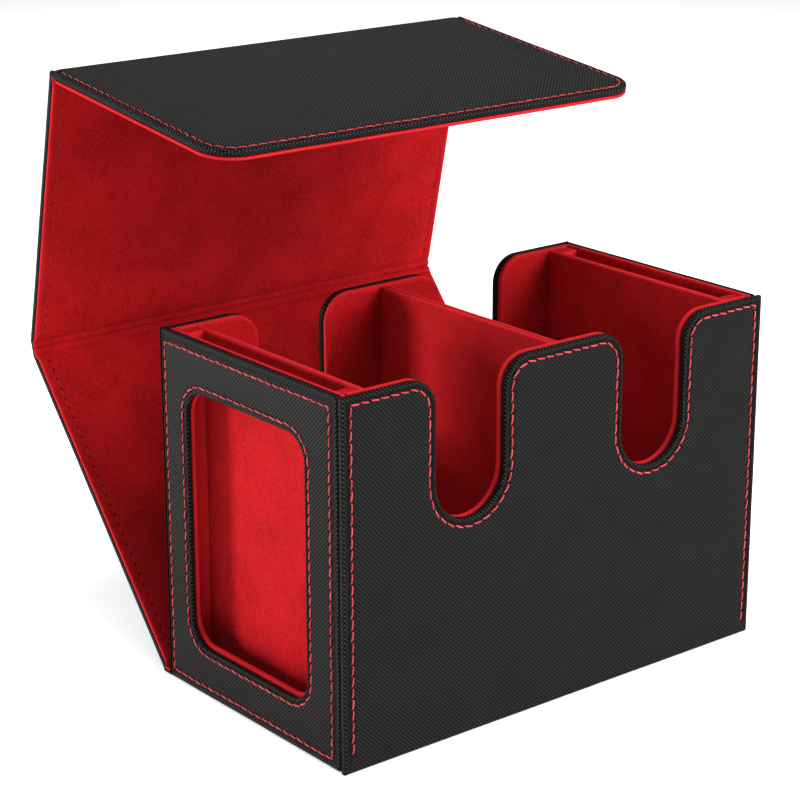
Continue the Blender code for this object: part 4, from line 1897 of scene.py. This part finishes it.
    def build_fold_linings(self) -> None:
        """The lining pressed into each fold."""
        strip = Strip(lining_rings(1.2, seam=True), 1.2, self.half_length, 3.2 * MM)
        wide = 0.35 * MM
        pieces = (
            (
                "base_fold_microfibre",
                "base",
                (
                    (0, -2.5, 0.02, 0.45, 0.0),
                    (0, -1.6, 0.02, 0.85, 0.0),
                    (0, -0.6, 0.05, 1.05, 0.0),
                    (0.5, 0.0, 0.15, 1.05, 0.0),
                    (1, 0.9, 0.95, 1.65, 0.0),
                    (1, 1.6, 1.2, 2.1, 0.0),
                    (1, 2.3, 1.3, 2.45, 0.0),
                ),
                (Body.BOX, Body.BACK_PANEL),
            ),
            (
                "rear_fold_lower_microfibre",
                "lower",
                (
                    (0, -2.6, 1.3, 2.5, 0.0),
                    (0, -1.6, 1.2, 2.35, 0.0),
                    (0, -0.8, 1.15, 2.15, wide),
                    (0.5, 0.0, 1.05, 1.95, wide),
                    (1, 0.7, 1.1, 1.9, wide),
                    (1, 1.5, 1.1, 1.85, wide),
                    (1, 2.15, 1.0, 1.6, wide),
                    (1, 2.5, 0.95, 1.2, 0.0),
                ),
                (Body.BACK_PANEL, Body.REAR_FOLD),
            ),
            (
                "rear_fold_upper_microfibre",
                "upper",
                (
                    (0, -2.5, 0.95, 1.2, 0.0),
                    (0, -2.2, 1.0, 1.6, 0.0),
                    (0, -1.6, 1.1, 1.84, wide),
                    (0, -0.8, 1.1, 1.88, wide),
                    (0.5, 0.0, 1.05, 1.9, wide),
                    (1, 0.8, 1.15, 2.1, 0.0),
                    (1, 1.6, 1.2, 2.35, 0.0),
                    (1, 2.9, 1.3, 2.5, 0.0),
                ),
                (Body.REAR_FOLD, Body.LID),
            ),
            (
                "front_fold_microfibre",
                "front",
                (
                    (0, -3.6, 1.3, 2.5, 0.0),
                    (0, -2.8, 1.25, 2.42, 0.0),
                    (0, -2.3, 1.1, 2.1, 0.0),
                    (0, -1.7, 0.9, 1.48, 0.0),
                    (0.5, 0.0, 0.5, 1.65, 0.0),
                    (1, 1.7, 0.9, 1.48, 0.0),
                    (1, 2.3, 1.1, 2.1, 0.0),
                    (1, 2.8, 1.25, 2.42, 0.0),
                    (1, 3.6, 1.3, 2.5, 0.0),
                ),
                (Body.LID, Body.FLAP),
            ),
        )
        for name, fold, rows, bodies in pieces:
            stations = [
                self.station(fold, turn, along, back, face, widen=widen, press=0.0)
                for turn, along, back, face, widen in rows
            ]
            made = strip.build(name, stations, None)
            self.bend(made, name.rsplit("_", 1)[0], bodies)
            nodes = ("rear_fold_lining",) if fold in ("lower", "upper") else ()
            dress(made, MICROFIBRE, None, *nodes)


@dataclass(frozen=True)
class FlapOutline(PanelOutline):
    """The flap, whose seam stops at the fold."""

    def pressed(self, points: np.ndarray) -> np.ndarray:
        """The seam runs along the sides and the free edge, not along the fold.

        Args:
            points: points of the outline itself.

        Returns:
            Their shares.
        """
        inside = np.abs(points[:, 0]) < self.right - 0.5 * MM
        return np.where(inside & (points[:, 1] < self.low + 0.5 * MM), 0.0, 1.0)


# ---------------------------------------------------------------- boards, magnets and studio


class HiddenParts:
    """The boards and magnets of the frame, which keep their shapes."""

    def build(self) -> None:
        """Gives each board and magnet its finish."""
        for name, node in sorted(frame["nodes"].items()):
            if node.hide_render:
                continue
            finish: Finish = Plating() if "magnet" in name else Greyboard()
            material = finish.material(name)
            for slot in node.material_slots:
                slot.material = material
            log.info("%s: kept from the frame", name)


@dataclass(frozen=True)
class Lamp:
    """A soft area light aimed at the box."""

    name: str
    azimuth: float
    elevation: float
    distance: float
    size: float
    power: float
    aim: Triple = (0.0, 0.0, 0.06)

    def build(self) -> None:
        """Adds the light. Azimuth 0 stands in front of the box and 90 at its right end."""
        turn, rise = math.radians(self.azimuth), math.radians(self.elevation)
        away = Vector((math.sin(turn) * math.cos(rise), -math.cos(turn) * math.cos(rise), math.sin(rise)))
        data = bpy.data.lights.new(self.name, "AREA")
        data.shape = "SQUARE"
        data.size = self.size
        data.energy = self.power
        made = bpy.data.objects.new(self.name, data)
        bpy.context.scene.collection.objects.link(made)
        made.location = Vector(self.aim) + away * self.distance
        made.rotation_mode = "QUATERNION"
        made.rotation_quaternion = (-away).to_track_quat("-Z", "Y")


@dataclass(frozen=True)
class Studio:
    """Floor, light and camera."""

    lamps: tuple[Lamp, ...] = (
        Lamp("key_light", -131.0, 5.0, 1.3, 0.36, 11.5),
        Lamp("left_light", -60.0, 50.0, 1.4, 0.8, 4.5),
        Lamp("right_light", 30.0, 25.0, 1.4, 0.8, 19.0),
        Lamp("top_light", 0.0, 82.0, 1.3, 0.8, 6.0),
        Lamp("back_right_light", 140.0, 35.0, 1.4, 0.8, 2.0),
        Lamp("back_light", 180.0, 40.0, 1.4, 0.8, 2.0),
    )
    sky: float = 0.08
    contrast: float = 0.75
    lens: float = 108.795
    eye: Triple = (-0.4481, -0.5243, 0.3070)
    look: Triple = (0.59662, 0.74029, -0.30985)
    roll: float = -0.0885

    def build(self) -> None:
        """Makes the floor, the lights and the camera."""
        self.build_floor()
        for lamp in self.lamps:
            lamp.build()
        self.build_sky()
        self.build_camera()
        bpy.context.scene.view_settings.view_transform = "Standard"
        bpy.context.scene.view_settings.look = "None"
        bpy.context.scene.view_settings.gamma = self.contrast

    def build_floor(self) -> None:
        """A wide sheet of pale paper."""
        shape = bmesh.new()
        corners = [shape.verts.new((x, y, 0.0)) for x, y in ((-12, -12), (12, -12), (12, 12), (-12, 12))]
        shape.faces.new(corners)
        mesh = bpy.data.meshes.new("floor")
        shape.to_mesh(mesh)
        shape.free()
        made = bpy.data.objects.new("floor", mesh)
        made.location = (0.0, 0.0, -0.0002)
        bpy.context.scene.collection.objects.link(made)
        mesh.materials.append(FloorPaper().material("floor"))

    def build_sky(self) -> None:
        """Even light from all round."""
        world = bpy.data.worlds.new("studio_sky")
        bpy.context.scene.world = world
        world.use_nodes = True
        back = world.node_tree.nodes["Background"]
        back.inputs["Color"].default_value = (1.0, 1.0, 1.0, 1.0)
        back.inputs["Strength"].default_value = self.sky

    def build_camera(self) -> None:
        """The camera at the photograph's angle."""
        data = bpy.data.cameras.new("camera")
        data.lens = self.lens
        data.sensor_width = 36.0
        data.clip_start = 0.01
        data.clip_end = 40.0
        made = bpy.data.objects.new("camera", data)
        bpy.context.scene.collection.objects.link(made)
        forward = Vector(self.look).normalized()
        level = forward.cross(Vector((0, 0, 1))).normalized()
        upright = level.cross(forward)
        tilt = math.radians(self.roll)
        right = level * math.cos(tilt) + upright * math.sin(tilt)
        up = upright * math.cos(tilt) - level * math.sin(tilt)
        turn = Matrix((right, up, -forward)).transposed()
        made.matrix_world = Matrix.Translation(self.eye) @ turn.to_4x4()
        bpy.context.scene.camera = made


def main() -> None:
    """Builds the box, its cover and the studio."""
    logging.basicConfig(level=logging.INFO, format="%(message)s")
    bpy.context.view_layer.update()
    LongWall("front", 43.65 * MM, True, 0.0, 80.25 * MM, seed=1).build()
    LongWall("back", 43.65 * MM, False, 1.1 * MM, 80.25 * MM, side_depth=0.62 * MM, seed=2).build()
    EndWall(Side.LEFT, seed=3).build()
    EndWall(Side.RIGHT, seed=4).build()
    Inserts().build()
    Cover().build()
    HiddenParts().build()
    Studio().build()


if __name__ == "__main__":
    main()
